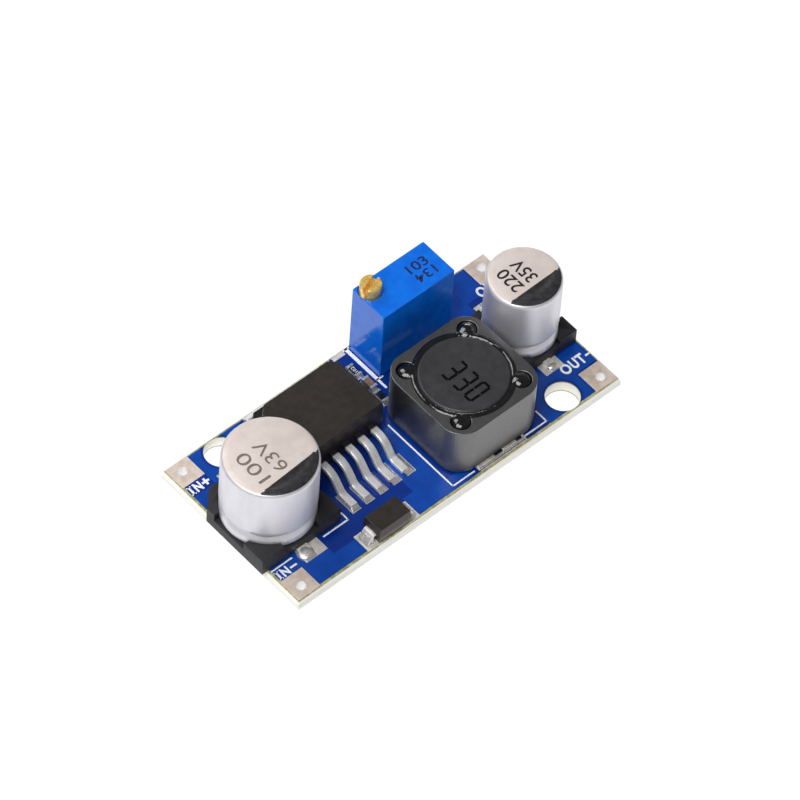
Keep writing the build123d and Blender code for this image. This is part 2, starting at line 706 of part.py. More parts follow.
# Spring wiper on the face of the wheel, with one arm bent over to the track
wiper_face = Plane((trimmer_x, screw_y - wheel_width / 2, wheel_z), x_dir=(1, 0, 0), z_dir=(0, -1, 0))
with BuildPart() as trimmer_wiper:
    with BuildSketch(wiper_face):
        Circle(axle_radius + wiper_hub)
        with Locations((0, -wiper_track / 2)):
            Rectangle(wiper_width, wiper_track)
        Circle(axle_radius, mode=Mode.SUBTRACT)
    extrude(amount=wiper_thickness)
    with BuildSketch(wiper_face):
        with Locations((0, wiper_thickness / 2 - wiper_track)):
            Rectangle(wiper_width, wiper_thickness)
    extrude(amount=screw_y - wheel_width / 2 - element_far - wiper_gap)
trimmer_wiper.part.label = "trimmer_wiper"
export_step(trimmer_wiper.part, "parts/trimmer_wiper.step")

# Solder on the regulator lands, climbing the feet and the tab
with BuildPart() as regulator_solder:
    for x, land_x in zip(lead_x, lead_land_x):
        with BuildSketch(Plane.XY.offset(land_top)):
            block(land_x - lead_land_width / 2, toe_y - lead_land_toe, land_x + lead_land_width / 2,
                  heel_y + lead_land_heel)
        with BuildSketch(Plane.XY.offset(land_top + solder_lead_height)):
            block(x - lead_width / 2 - solder_lap, toe_y - solder_lap, x + lead_width / 2 + solder_lap, heel_y)
        loft()
    with BuildSketch(Plane.XY.offset(land_top)):
        block(tab_land_x - tab_land_half, regulator_back_y, tab_land_x + tab_land_half,
              tab_end_y + solder_tab_reach)
    with BuildSketch(Plane.XY.offset(land_top + solder_tab_height)):
        block(regulator_x - tab_width / 2, regulator_back_y, regulator_x + tab_width / 2, tab_end_y + solder_lap)
    loft()
    for held in (*regulator_leads, regulator_tab.part, regulator_body.part):
        add(held, mode=Mode.SUBTRACT)
regulator_solder.part.label = "regulator_solder"
export_step(regulator_solder.part, "parts/regulator_solder.step")

# Solder against the ends of the diode leads, the chip caps and the capacitor leads
with BuildPart() as diode_solder:
    with BuildSketch(Plane.XZ.offset(-diode_y)):
        for side in (-1, 1):
            end_x = diode_x + side * diode_span / 2
            Polygon((end_x, land_top), (end_x + side * solder_diode_reach, land_top),
                    (end_x + side * solder_diode_crest, land_top + solder_diode_height),
                    (end_x, land_top + solder_diode_height), align=None)
    extrude(amount=diode_lead_width / 2, both=True)
    for held in diode_leads:
        add(held, mode=Mode.SUBTRACT)
diode_solder.part.label = "diode_solder"
export_step(diode_solder.part, "parts/diode_solder.step")

with BuildPart() as chip_solder:
    with BuildSketch(Plane.YZ.offset(chip_x)):
        for y, height in chips.values():
            for side in (-1, 1):
                end_y = y + side * chip_length / 2
                Polygon((end_y, land_top), (end_y + side * chip_land_reach, land_top),
                        (end_y, land_top + solder_chip_height), align=None)
    extrude(amount=chip_width / 2, both=True)
chip_solder.part.label = "chip_solder"
export_step(chip_solder.part, "parts/chip_solder.step")

with BuildPart() as capacitor_solder:
    for unit in capacitors.values():
        with BuildSketch(Plane.YZ.offset(unit["x"])):
            for side in (-1, 1):
                tip_y = unit["y"] + side * (unit["base"] / 2 + capacitor_lead_reach)
                land_y = unit["y"] + side * unit["land_reach"]
                Polygon((tip_y, land_top), (land_y, land_top), (tip_y, land_top + capacitor_lead_thickness),
                        align=None)
        extrude(amount=unit["lead"] / 2, both=True)
capacitor_solder.part.label = "capacitor_solder"
export_step(capacitor_solder.part, "parts/capacitor_solder.step")

# Solder along the outer edges of the inductor straps
with BuildPart() as inductor_solder:
    with BuildSketch(Plane.YZ.offset(inductor_x)):
        for side in (-1, 1):
            strap_y = inductor_y + side * (shield_side / 2 + strap_reach)
            land_y = inductor_y + side * (shield_side / 2 + strap_land_reach)
            Polygon((strap_y, land_top), (land_y, land_top), (strap_y, land_top + solder_strap_height), align=None)
    extrude(amount=strap_width / 2, both=True)
inductor_solder.part.label = "inductor_solder"
export_step(inductor_solder.part, "parts/inductor_solder.step")

# Solder cones that fill the drillings of the trimmer pins
cone_taper = degrees(atan((solder_cone_base - solder_cone_top) / 2 / solder_cone_height))
with BuildPart() as trimmer_solder:
    with BuildSketch(Plane.XY.offset(-land_thickness)):
        with Locations(*pin_places):
            Circle(pin_drill / 2)
    extrude(amount=land_thickness + board_thickness)
    with BuildSketch(Plane.XY.offset(-land_thickness)):
        with Locations(*pin_places):
            Circle(solder_cone_base / 2)
    extrude(amount=solder_cone_height, dir=(0, 0, -1), taper=cone_taper)
    for held in pins:
        add(held, mode=Mode.SUBTRACT)
trimmer_solder.part.label = "trimmer_solder"
export_step(trimmer_solder.part, "parts/trimmer_solder.step")
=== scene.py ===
import math
import random

import bmesh
import bpy
from mathutils import Matrix, Vector


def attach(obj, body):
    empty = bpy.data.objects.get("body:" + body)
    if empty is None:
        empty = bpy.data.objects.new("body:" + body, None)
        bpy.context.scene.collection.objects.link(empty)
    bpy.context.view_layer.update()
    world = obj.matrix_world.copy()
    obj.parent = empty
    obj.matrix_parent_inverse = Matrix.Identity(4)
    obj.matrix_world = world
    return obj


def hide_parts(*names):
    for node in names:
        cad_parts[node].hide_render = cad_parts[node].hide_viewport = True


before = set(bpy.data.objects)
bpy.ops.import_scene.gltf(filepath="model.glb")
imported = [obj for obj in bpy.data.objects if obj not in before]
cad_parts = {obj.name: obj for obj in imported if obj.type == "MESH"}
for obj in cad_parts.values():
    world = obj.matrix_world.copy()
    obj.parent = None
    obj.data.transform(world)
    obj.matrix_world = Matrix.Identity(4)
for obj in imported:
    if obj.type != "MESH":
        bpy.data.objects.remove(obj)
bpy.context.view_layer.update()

# Printed circuit board
# Woven glass and epoxy, 1.6 mm thick, snapped out of a panel along scored lines.
# The faces wear glossy blue solder mask; the rim and the snapped edges show the bare laminate.
MM = 0.001
BOARD_TOP = 1.6
# half the length and width of the mask, and the strip where it ends
MASK_HALF = (21.36, 10.08)
MASK_FADE = (0.04, 0.06)
# how far below a face its bare edge begins, and where the olive line under it ends
EDGE_FADE = (0.004, 0.006)
RESIN_FADE = (0.12, 0.18)


def hex_colour(text):
    """sRGB hex to the linear colour that a shader socket takes."""
    channels = [int(text[i:i + 2], 16) / 255 for i in (1, 3, 5)]
    linear = [c / 12.92 if c <= 0.04045 else ((c + 0.055) / 1.055) ** 2.4 for c in channels]
    return (*linear, 1.0)


def add_node(material, kind, inputs=None, stops=(), **settings):
    """Adds one node with its settings; a socket given as an input is linked, a value is set."""
    tree = material.node_tree
    node = tree.nodes.new(kind)
    for name, value in settings.items():
        setattr(node, name, value)
    for socket, value in (inputs or {}).items():
        if isinstance(value, bpy.types.NodeSocket):
            tree.links.new(value, node.inputs[socket])
        else:
            node.inputs[socket].default_value = value
    for index, (place, colour) in enumerate(stops):
        elements = node.color_ramp.elements
        element = elements[index] if index < len(elements) else elements.new(place)
        element.position, element.color = place, hex_colour(colour)
    return node


def spots(material, size_mm, detail=2.0, stretch=(1, 1, 1)):
    """Cloudy noise whose spots are about size_mm wide, laid in Object coordinates."""
    place = add_node(material, "ShaderNodeTexCoord")
    turned = add_node(material, "ShaderNodeMapping", {"Vector": place.outputs["Object"], "Scale": stretch})
    noise = add_node(material, "ShaderNodeTexNoise", {
        "Vector": turned.outputs["Vector"], "Scale": 1 / (size_mm * MM), "Detail": detail})
    return noise.outputs["Fac"]


def finish(name, tones, rough, relief=None, detail=2.0, stretch=(1, 1, 1), edge_highlight=None, **constants):
    """A material whose colour, gloss and relief vary in spots of a real size, in mm.

    tones is (size, dark, light), rough is (size, smooth, rough), relief is (size, depth), and
    edge_highlight is the paler colour that sharp edges are painted, a painted highlight. Constants sit on the
    shader's own sockets.
    """
    material = bpy.data.materials.new(name)
    material.use_nodes = True
    tree = material.node_tree
    shader = tree.nodes["Principled BSDF"]
    for socket, value in constants.items():
        shader.inputs[socket.replace("_", " ")].default_value = value
    size, dark, light = tones
    colour = add_node(material, "ShaderNodeValToRGB", {"Fac": spots(material, size, detail, stretch)},
                      [(0.35, dark), (0.65, light)]).outputs["Color"]
    # painted highlight: edges that Pointiness finds sharp take the paler colour
    if edge_highlight:
        shape = add_node(material, "ShaderNodeNewGeometry")
        edges = add_node(material, "ShaderNodeMapRange", {
            "Value": shape.outputs["Pointiness"], "From Min": 0.53, "From Max": 0.62, "To Max": 0.6})
        colour = add_node(material, "ShaderNodeMix", {
            "Factor": edges.outputs["Result"], "A": colour, "B": hex_colour(edge_highlight)},
            data_type="RGBA").outputs["Result"]
    tree.links.new(colour, shader.inputs["Base Color"])
    size, smooth, dull = rough
    gloss = add_node(material, "ShaderNodeMapRange", {
        "Value": spots(material, size, detail), "From Min": 0.3, "From Max": 0.7,
        "To Min": smooth, "To Max": dull})
    tree.links.new(gloss.outputs["Result"], shader.inputs["Roughness"])
    if relief:
        size, depth = relief
        bump = add_node(material, "ShaderNodeBump", {
            "Height": spots(material, size, detail, stretch), "Strength": 1.0, "Distance": depth * MM})
        tree.links.new(bump.outputs["Normal"], shader.inputs["Normal"])
        if shader.inputs["Coat Weight"].default_value:
            tree.links.new(bump.outputs["Normal"], shader.inputs["Coat Normal"])
    return material


def feed_of(material, socket="Base Color"):
    """What is linked to a socket of the material's shader."""
    return material.node_tree.nodes["Principled BSDF"].inputs[socket].links[0].from_socket


def recolour(material, colour, rough=None):
    """Feeds another colour, and another roughness, to a finished material."""
    tree = material.node_tree
    shader = tree.nodes["Principled BSDF"]
    tree.links.new(colour, shader.inputs["Base Color"])
    if rough:
        tree.links.new(rough, shader.inputs["Roughness"])


def dress(material, *node_names):
    """Gives CAD nodes that stay in view their material."""
    for node_name in node_names:
        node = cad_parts[node_name]
        if not node.data.materials:
            node.data.materials.append(material)
        for slot in node.material_slots:
            slot.material = material


# Mask over glass: glossy epoxy film, deep blue, gently mottled, ending in an olive line where the
# resin shows through. Laminate: cream, dull, with the layers of glass in its snapped edge.
board_material = finish("solder_mask_on_glass_epoxy", (2.5, "#032a7c", "#05328a"), (0.9, 0.16, 0.24),
                        (0.35, 0.002), IOR=1.5)
board_place = add_node(board_material, "ShaderNodeTexCoord")
board_axes = add_node(board_material, "ShaderNodeSeparateXYZ", {"Vector": board_place.outputs["Object"]})
mask_colour = feed_of(board_material)
edge_wander = add_node(board_material, "ShaderNodeMath", {0: spots(board_material, 0.6), 1: 0.1 * MM},
                       operation="MULTIPLY")
past_mask = []
for axis, half in zip("XY", MASK_HALF):
    away = add_node(board_material, "ShaderNodeMath", {0: board_axes.outputs[axis]}, operation="ABSOLUTE")
    wandering = add_node(board_material, "ShaderNodeMath", {
        0: away.outputs["Value"], 1: edge_wander.outputs["Value"]}, operation="ADD")
    past_mask.append(add_node(board_material, "ShaderNodeMapRange", {
        "Value": wandering.outputs["Value"], "From Min": (half + MASK_FADE[0]) * MM,
        "From Max": (half + MASK_FADE[1]) * MM}))
outside = add_node(board_material, "ShaderNodeMath", {
    0: past_mask[0].outputs["Result"], 1: past_mask[1].outputs["Result"]}, operation="MAXIMUM")
depth_in = add_node(board_material, "ShaderNodeMath", {0: board_axes.outputs["Z"], 1: BOARD_TOP / 2 * MM},
                    operation="SUBTRACT")
depth_away = add_node(board_material, "ShaderNodeMath", {0: depth_in.outputs["Value"]}, operation="ABSOLUTE")
in_edge = add_node(board_material, "ShaderNodeMapRange", {
    "Value": depth_away.outputs["Value"], "From Min": (BOARD_TOP / 2 - EDGE_FADE[0]) * MM,
    "From Max": (BOARD_TOP / 2 - EDGE_FADE[1]) * MM})
glass_layers = add_node(board_material, "ShaderNodeValToRGB", {
    "Fac": spots(board_material, 0.9, stretch=(0.12, 0.12, 9))}, [(0.3, "#efece0"), (0.6, "#fefdf8")])
resin_line = add_node(board_material, "ShaderNodeValToRGB", {
    "Fac": spots(board_material, 0.5)}, [(0.35, "#8f8d5a"), (0.65, "#bdba8a")])
under_rim = add_node(board_material, "ShaderNodeMapRange", {
    "Value": depth_away.outputs["Value"], "From Min": (BOARD_TOP / 2 - RESIN_FADE[0]) * MM,
    "From Max": (BOARD_TOP / 2 - RESIN_FADE[1]) * MM})
bare = add_node(board_material, "ShaderNodeMix", {
    "Factor": under_rim.outputs["Result"], "A": resin_line.outputs["Color"],
    "B": glass_layers.outputs["Color"]}, data_type="RGBA")
unmasked = add_node(board_material, "ShaderNodeMath", {
    0: outside.outputs["Value"], 1: in_edge.outputs["Result"]}, operation="MAXIMUM")
board_colour = add_node(board_material, "ShaderNodeMix", {
    "Factor": unmasked.outputs["Value"], "A": mask_colour, "B": bare.outputs["Result"]}, data_type="RGBA")
board_gloss = add_node(board_material, "ShaderNodeMapRange", {
    "Value": unmasked.outputs["Value"], "To Min": 0.2, "To Max": 0.65})
recolour(board_material, board_colour.outputs["Result"], board_gloss.outputs["Result"])
dress(board_material, "circuit_board")

# Copper under the mask
# Etched foil a few hundredths of a millimetre thick, printed over with the same mask, so each area
# stands a hair proud and shows as a brighter blue with a fine edge.
FOIL = 0.03


def deselect():
    """Leaves edit mode and selects nothing."""
    if bpy.context.object and bpy.context.object.mode != "OBJECT":
        bpy.ops.object.mode_set(mode="OBJECT")
    bpy.ops.object.select_all(action="DESELECT")


def pick(*pieces):
    """Only these are selected, the last one active."""
    deselect()
    for piece in pieces:
        piece.select_set(True)
    bpy.context.view_layer.objects.active = pieces[-1]


def settle(piece, name, material, body="module", replaces=()):
    """Applies its place to the mesh, names it, gives it its material and body, hides the nodes it replaces.
    """
    pick(piece)
    bpy.ops.object.transform_apply(location=True, rotation=True, scale=True)
    piece.name = name
    piece.data.name = name
    piece.data.materials.clear()
    piece.data.materials.append(material)
    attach(piece, body)
    if replaces:
        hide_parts(*replaces)
    return piece


def join(pieces):
    """Makes several pieces one object."""
    pick(*pieces)
    if len(pieces) > 1:
        bpy.ops.object.join()
    return bpy.context.object


def on_all(piece, operator, **settings):
    """Runs one operator of edit mode on the whole of a piece."""
    pick(piece)
    bpy.ops.object.mode_set(mode="EDIT")
    bpy.ops.mesh.select_all(action="SELECT")
    operator(**settings)
    bpy.ops.object.mode_set(mode="OBJECT")


def modify(piece, kind, **settings):
    """Gives a piece one modifier and applies it."""
    modifier = piece.modifiers.new(kind.lower(), kind)
    for name, value in settings.items():
        setattr(modifier, name, value)
    pick(piece)
    bpy.ops.object.modifier_apply(modifier=modifier.name)


def cut(piece, tool):
    """Takes the tool's shape out of the piece and throws the tool away."""
    modify(piece, "BOOLEAN", object=tool)
    bpy.data.objects.remove(tool)


def slab(x_low, y_low, x_high, y_high, z_low, z_high, bevel=0.0):
    """A flat plate between two corners, in mm, with its upper edges eased."""
    deselect()
    bpy.ops.mesh.primitive_plane_add(size=1, location=(
        (x_low + x_high) / 2 * MM, (y_low + y_high) / 2 * MM, z_low * MM))
    plate = bpy.context.object
    plate.scale = ((x_high - x_low) * MM, (y_high - y_low) * MM, 1)
    bpy.ops.object.transform_apply(location=True, rotation=True, scale=True)
    on_all(plate, bpy.ops.mesh.extrude_region_move,
           TRANSFORM_OT_translate={"value": (0, 0, (z_high - z_low) * MM)})
    on_all(plate, bpy.ops.mesh.normals_make_consistent, inside=False)
    if bevel:
        modify(plate, "BEVEL", width=bevel * MM, segments=2)
    return plate


# Mask over copper: the same gloss film, a lighter blue because the bright metal throws light back.
foil_material = finish("solder_mask_on_copper", (2.2, "#053e98", "#0747a8"), (0.8, 0.16, 0.24), (0.4, 0.002),
                       IOR=1.5)
# each area is its two corners
foil_areas = [
    (-21.35, -4.9, -18.6, 5.9), (-18.6, 0.2, -12.0, 10.1), (-18.6, -10.1, -15.1, -5.4),
    (-15.1, -10.1, -12.4, -8.2), (-21.35, -7.35, -18.6, -4.9), (-4.0, -10.1, -0.6, 0.1),
    (-5.4, -10.1, -4.0, -7.6), (-0.6, -10.1, 2.0, -8.6), (12.35, -10.1, 18.5, -4.3),
    (18.5, -7.2, 21.35, -4.3), (12.5, 3.9, 15.9, 10.1), (15.9, 6.4, 18.5, 10.1)]
MOUNTING_HOLES = ((-15.6, 8.4), (15.6, -8.4))
HOLE_CLEARING = 2.1
foil_plates = []
for x_low, y_low, x_high, y_high in foil_areas:
    foil_plate = slab(x_low, y_low, x_high, y_high, BOARD_TOP, BOARD_TOP + FOIL, 0.01)
    # the copper keeps clear of the mounting holes
    for hole_x, hole_y in MOUNTING_HOLES:
        if x_low < hole_x < x_high and y_low < hole_y < y_high:
            deselect()
            bpy.ops.mesh.primitive_cylinder_add(vertices=96, radius=HOLE_CLEARING * MM, depth=1 * MM,
                                                location=(hole_x * MM, hole_y * MM, BOARD_TOP * MM))
            cut(foil_plate, bpy.context.object)
    foil_plates.append(foil_plate)
foil = join(foil_plates)
settle(foil, "copper_areas", foil_material)

# Printed legend
# White epoxy ink, screened on the mask: outlines of the parts and the signs at the terminals.
# A few hundredths of a millimetre thick, matt, with a slightly uneven edge and cover.
INK = 0.05
# Screened epoxy ink full of white pigment: bright, matt, thin in places so that a little blue shows.
legend_material = finish("screened_white_ink", (0.18, "#dfe4ee", "#ffffff"), (0.3, 0.45, 0.6), (0.1, 0.003),
                         IOR=1.5)


def stroke(x0, y0, x1, y1, width, z_low, z_high):
    """A straight printed line between two points, in mm."""
    length = math.hypot(x1 - x0, y1 - y0)
    line = slab(-length / 2, -width / 2, length / 2, width / 2, z_low, z_high)
    line.rotation_euler[2] = math.atan2(y1 - y0, x1 - x0)
    line.location = ((x0 + x1) / 2 * MM, (y0 + y1) / 2 * MM, 0)
    pick(line)
    bpy.ops.object.transform_apply(location=True, rotation=True, scale=True)
    return line


def lettering(text, centre, size, z_low, thickness, turn=0.0, bolder=0.0):
    """Plain capitals and figures: made a mesh, then sized to (width, height) and placed, in mm."""
    deselect()
    bpy.ops.object.text_add()
    letters = bpy.context.object
    letters.data.body = text
    letters.data.extrude = 0.5
    letters.data.offset = bolder
    letters.data.resolution_u = 4
    bpy.ops.object.convert(target="MESH")
    letters = bpy.context.object
    xs = [vertex.co.x for vertex in letters.data.vertices]
    ys = [vertex.co.y for vertex in letters.data.vertices]
    middle = Vector(((min(xs) + max(xs)) / 2, (min(ys) + max(ys)) / 2, 0))
    factor = Vector((size[0] / (max(xs) - min(xs)), size[1] / (max(ys) - min(ys)), thickness)) * MM
    letters.scale = factor
    letters.rotation_euler[2] = math.radians(turn)
    shift = Vector((-middle.x * factor.x, -middle.y * factor.y, 0))
    shift.rotate(letters.rotation_euler)
    letters.location = shift + Vector((centre[0], centre[1], z_low + thickness / 2)) * MM
    bpy.ops.object.transform_apply(location=True, rotation=True, scale=True)
    on_all(letters, bpy.ops.mesh.remove_doubles, threshold=0.001 * MM)
    return letters


legend_low = BOARD_TOP - 0.01
legend_high = BOARD_TOP + INK
# each line is its two ends and its width
legend_lines = [
    (-11.3, -4.9, -11.3, -6.05, 0.17), (-11.22, -6.0, -14.6, -6.0, 0.17),
    (-21.4, -5.93, -18.65, -5.93, 0.17), (-0.48, 0.2, -0.48, -9.72, 0.17),
    (-0.57, -9.65, 2.45, -9.65, 0.17), (9.25, -9.65, 12.3, -9.65, 0.17),
    (12.22, -9.65, 12.22, -8.02, 0.17), (0.1, 10.15, 0.1, 9.75, 0.17),
    (2.5, 10.15, 2.5, 5.1, 0.4), (2.5, 5.1, 2.5, 3.75, 0.26),
    (2.3, 5.15, 3.25, 5.15, 0.2), (2.1, 10.05, 2.95, 10.05, 0.2),
    (-21.06, 6.06, -21.06, 7.2, 0.22), (-21.32, 6.13, -20.8, 6.13, 0.14), (-21.32, 7.13, -20.8, 7.13, 0.14),
    (-21.1, -7.3, -21.1, -6.2, 0.22), (-21.34, -7.23, -20.86, -7.23, 0.14),
    (-21.34, -6.27, -20.86, -6.27, 0.14),
    (-19.6, -6.75, -18.75, -6.75, 0.22), (20.82, -6.1, 21.4, -6.1, 0.22)]
legend = [stroke(*line, legend_low, legend_high) for line in legend_lines]
# each sign is its text, its centre and its width and height
for sign, centre, size in [
        ("N", (-20.2, 6.63), (0.82, 1.14)), ("+", (-19.2, 6.63), (0.86, 0.86)),
        ("N", (-20.26, -6.75), (0.86, 1.08)), ("O", (18.13, -6.09), (1.14, 1.32)),
        ("U", (19.26, -6.09), (0.82, 1.3)), ("T", (20.2, -6.09), (0.86, 1.3)),
        ("O", (18.1, 6.72), (1.1, 1.3)), ("U", (19.22, 6.72), (0.82, 1.3)),
        ("T", (20.15, 6.72), (0.86, 1.3)), ("+", (21.0, 6.72), (0.75, 0.75))]:
    legend.append(lettering(sign, centre, size, legend_low, INK + 0.01, bolder=0.035))
settle(join(legend), "board_legend", legend_material)

# Terminals and lands
# Copper foil with a hot-levelled tin finish: a pinkish silver, satin, slightly wavy and dulled
# where it was never soldered. The four corner pads are plated through for wires.
# Hot-levelled tin never soldered: dulled by flux and heat to a pinkish satin silver.
# its sharp edges are painted paler: a painted highlight
land_material = finish("hot_levelled_tin", (0.7, "#ceb9a7", "#e2d3c6"), (0.35, 0.42, 0.55), (0.6, 0.006),
                       detail=3.0, edge_highlight="#f2eae2", Metallic=0.35)
# the plated barrels are glossier tin, and painted near white: a painted reflection of the lit floor
BARREL_PLACE = {"X": 20.2, "Y": 9.05}
BARREL_RADIUS = 0.5
BARREL_FADE = (0.06, 0.03)
land_place = add_node(land_material, "ShaderNodeTexCoord")
land_axes = add_node(land_material, "ShaderNodeSeparateXYZ", {"Vector": land_place.outputs["Object"]})
squares = []
for axis, place in BARREL_PLACE.items():
    away = add_node(land_material, "ShaderNodeMath", {0: land_axes.outputs[axis]}, operation="ABSOLUTE")
    offset = add_node(land_material, "ShaderNodeMath", {0: away.outputs["Value"], 1: place * MM},
                      operation="SUBTRACT")
    squares.append(add_node(land_material, "ShaderNodeMath", {
        0: offset.outputs["Value"], 1: offset.outputs["Value"]}, operation="MULTIPLY"))
reach = add_node(land_material, "ShaderNodeMath", {
    0: squares[0].outputs["Value"], 1: squares[1].outputs["Value"]}, operation="ADD")
distance = add_node(land_material, "ShaderNodeMath", {0: reach.outputs["Value"]}, operation="SQRT")
in_barrel = add_node(land_material, "ShaderNodeMapRange", {
    "Value": distance.outputs["Value"], "From Min": (BARREL_RADIUS + BARREL_FADE[0]) * MM,
    "From Max": (BARREL_RADIUS + BARREL_FADE[1]) * MM})
land_colour = add_node(land_material, "ShaderNodeMix", {
    "Factor": in_barrel.outputs["Result"], "A": feed_of(land_material), "B": hex_colour("#fbfaf9")},
    data_type="RGBA")
land_rough = add_node(land_material, "ShaderNodeMix", {
    "Factor": in_barrel.outputs["Result"], "A": feed_of(land_material, "Roughness"), "B": 0.12})
recolour(land_material, land_colour.outputs["Result"], land_rough.outputs["Result"])


def copied(node_name, name, flat_within=0.0):
    """A CAD node's own shape in a new object, its loose triangles merged.

    With an angle in degrees, triangles that lie that flat to each other become whole faces.
    """
    piece = bpy.data.objects.new(name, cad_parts[node_name].data.copy())
    bpy.context.scene.collection.objects.link(piece)
    pick(piece)
    bpy.ops.mesh.customdata_custom_splitnormals_clear()
    bpy.ops.object.mode_set(mode="EDIT")
    bpy.ops.mesh.select_all(action="SELECT")
    bpy.ops.mesh.remove_doubles(threshold=0.0005 * MM)
    if flat_within:
        bpy.ops.mesh.dissolve_limited(angle_limit=math.radians(flat_within))
    bpy.ops.object.mode_set(mode="OBJECT")
    return piece


def eased(node_name, name, width, segments=2, limit=40):
    """A copy of a CAD node with its sharp edges eased: rounds are smooth, broad faces flat."""
    piece = copied(node_name, name, flat_within=1)
    # facets of a curved wall meet at small angles; every other face is truly flat
    rounds = bmesh.new()
    rounds.from_mesh(piece.data)
    for face in rounds.faces:
        bends = (edge.calc_face_angle(0) for edge in face.edges)
        face.material_index = int(any(0.01 < bend < math.radians(limit) for bend in bends))
    rounds.to_mesh(piece.data)
    rounds.free()
    piece.data.materials.clear()
    for _ in range(2):
        piece.data.materials.append(None)
    modify(piece, "BEVEL", width=width * MM, segments=segments, limit_method="ANGLE",
           angle_limit=math.radians(limit), use_clamp_overlap=True, material=1)
    for face in piece.data.polygons:
        face.use_smooth = face.material_index == 1
        face.material_index = 0
    return piece


def softened(node_name, name, material, width, segments=2, body="module", limit=40):
    """An eased copy that stands for its node."""
    piece = eased(node_name, name, width, segments, limit)
    return settle(piece, name, material, body, (node_name,))


for side in ("input_plus", "input_minus", "output_plus", "output_minus"):
    softened(f"{side}_terminal", f"{side}_pad", land_material, 0.02)
# Tin wetted again when the parts were soldered: a cleaner, brighter satin silver.
bright_land_material = finish("reflowed_tin", (0.7, "#d3cdc6", "#ebe7e2"), (0.35, 0.36, 0.5), (0.6, 0.006),
                              detail=3.0, Metallic=0.45)
dress(bright_land_material, "surface_lands")

# Switching regulator
# Black epoxy moulding compound pressed round a stamped copper frame: dark brown-grey, matt,
# with a fine sandy grain from the mould, a round ejector mark and sharp drafted sides.
# Silica-filled black epoxy: a warm charcoal, matt and even; its sand grain is drawn at 0.07 mm.
case_material = finish("epoxy_moulding_compound", (0.9, "#211b16", "#2b241e"), (0.5, 0.36, 0.46),
                       (0.07, 0.006), detail=3.0, IOR=1.5)
regulator_case = softened("regulator_body", "regulator_case", case_material, 0.07)
# the ejector leaves a shallow round dimple in the top
EJECTOR, EJECTOR_RADIUS, CASE_TOP = (-11.0, 7.15), 0.42, 6.05
deselect()
bpy.ops.mesh.primitive_cylinder_add(vertices=48, radius=EJECTOR_RADIUS * MM, depth=0.08 * MM,
                                    location=(EJECTOR[0] * MM, EJECTOR[1] * MM, CASE_TOP * MM))
cut(regulator_case, bpy.context.object)

# The leads and the heat tab are tinned copper: bright, a little streaked along the bend,
# and painted dark near the case: painted shade for the shadow that the case casts on them.
lead_material = finish("bright_tin_plate", (0.5, "#efeded", "#ffffff"), (0.5, 0.28, 0.38), (0.5, 0.002),
                       stretch=(2.2, 0.5, 1), Metallic=0.6)
# painted shade: each lead is painted dark over its first tenths of a millimetre out of the case
CASE_SHADE_Y = (-0.5, -0.3)
lead_place = add_node(lead_material, "ShaderNodeTexCoord")
lead_axes = add_node(lead_material, "ShaderNodeSeparateXYZ", {"Vector": lead_place.outputs["Object"]})
case_shade_mask = add_node(lead_material, "ShaderNodeMapRange", {
    "Value": lead_axes.outputs["Y"], "From Min": CASE_SHADE_Y[0] * MM,
    "From Max": CASE_SHADE_Y[1] * MM})
painted_case_shade = add_node(lead_material, "ShaderNodeValToRGB", {"Fac": spots(lead_material, 0.3)},
                     [(0.3, "#27242a"), (0.7, "#3c3a3c")])
lead_colour = add_node(lead_material, "ShaderNodeMix", {
    "Factor": case_shade_mask.outputs["Result"], "A": feed_of(lead_material), "B": painted_case_shade.outputs["Color"]},
    data_type="RGBA")
recolour(lead_material, lead_colour.outputs["Result"])
# Tin plate on brass and copper strip: an even, bright silver satin without the painted shade at the root.
plate_material = finish("tinned_strip", (0.5, "#d6d3d0", "#f4f2ee"), (0.5, 0.34, 0.46), (0.5, 0.003),
                        Metallic=0.45)
LEAD_X = {1: -9.85, 2: -8.15, 3: -6.45, 4: -4.75, 5: -3.05}
LEAD_WIDTH = 0.82
LEAD_THICKNESS = 0.5
LEAD_ROOT, LEAD_SHOULDER, LEAD_HEEL, LEAD_TOE = 0.6, -1.8, -3.4, -5.3
LEAD_LEVEL, FOOT_LEVEL = 3.75, 1.9
# where each bend lies, and how far it is rolled out on both sides
LEAD_BENDS = ((LEAD_SHOULDER, 0.8), (LEAD_HEEL, 0.45))


def choose(piece, test):
    """In edit mode, only the vertices whose place in mm passes the test are selected."""
    pick(piece)
    for group in (piece.data.edges, piece.data.polygons):
        for element in group:
            element.select = False
    for vertex in piece.data.vertices:
        vertex.select = test(vertex.co / MM)
    bpy.ops.object.mode_set(mode="EDIT")
    bpy.ops.mesh.select_mode(type="VERT")


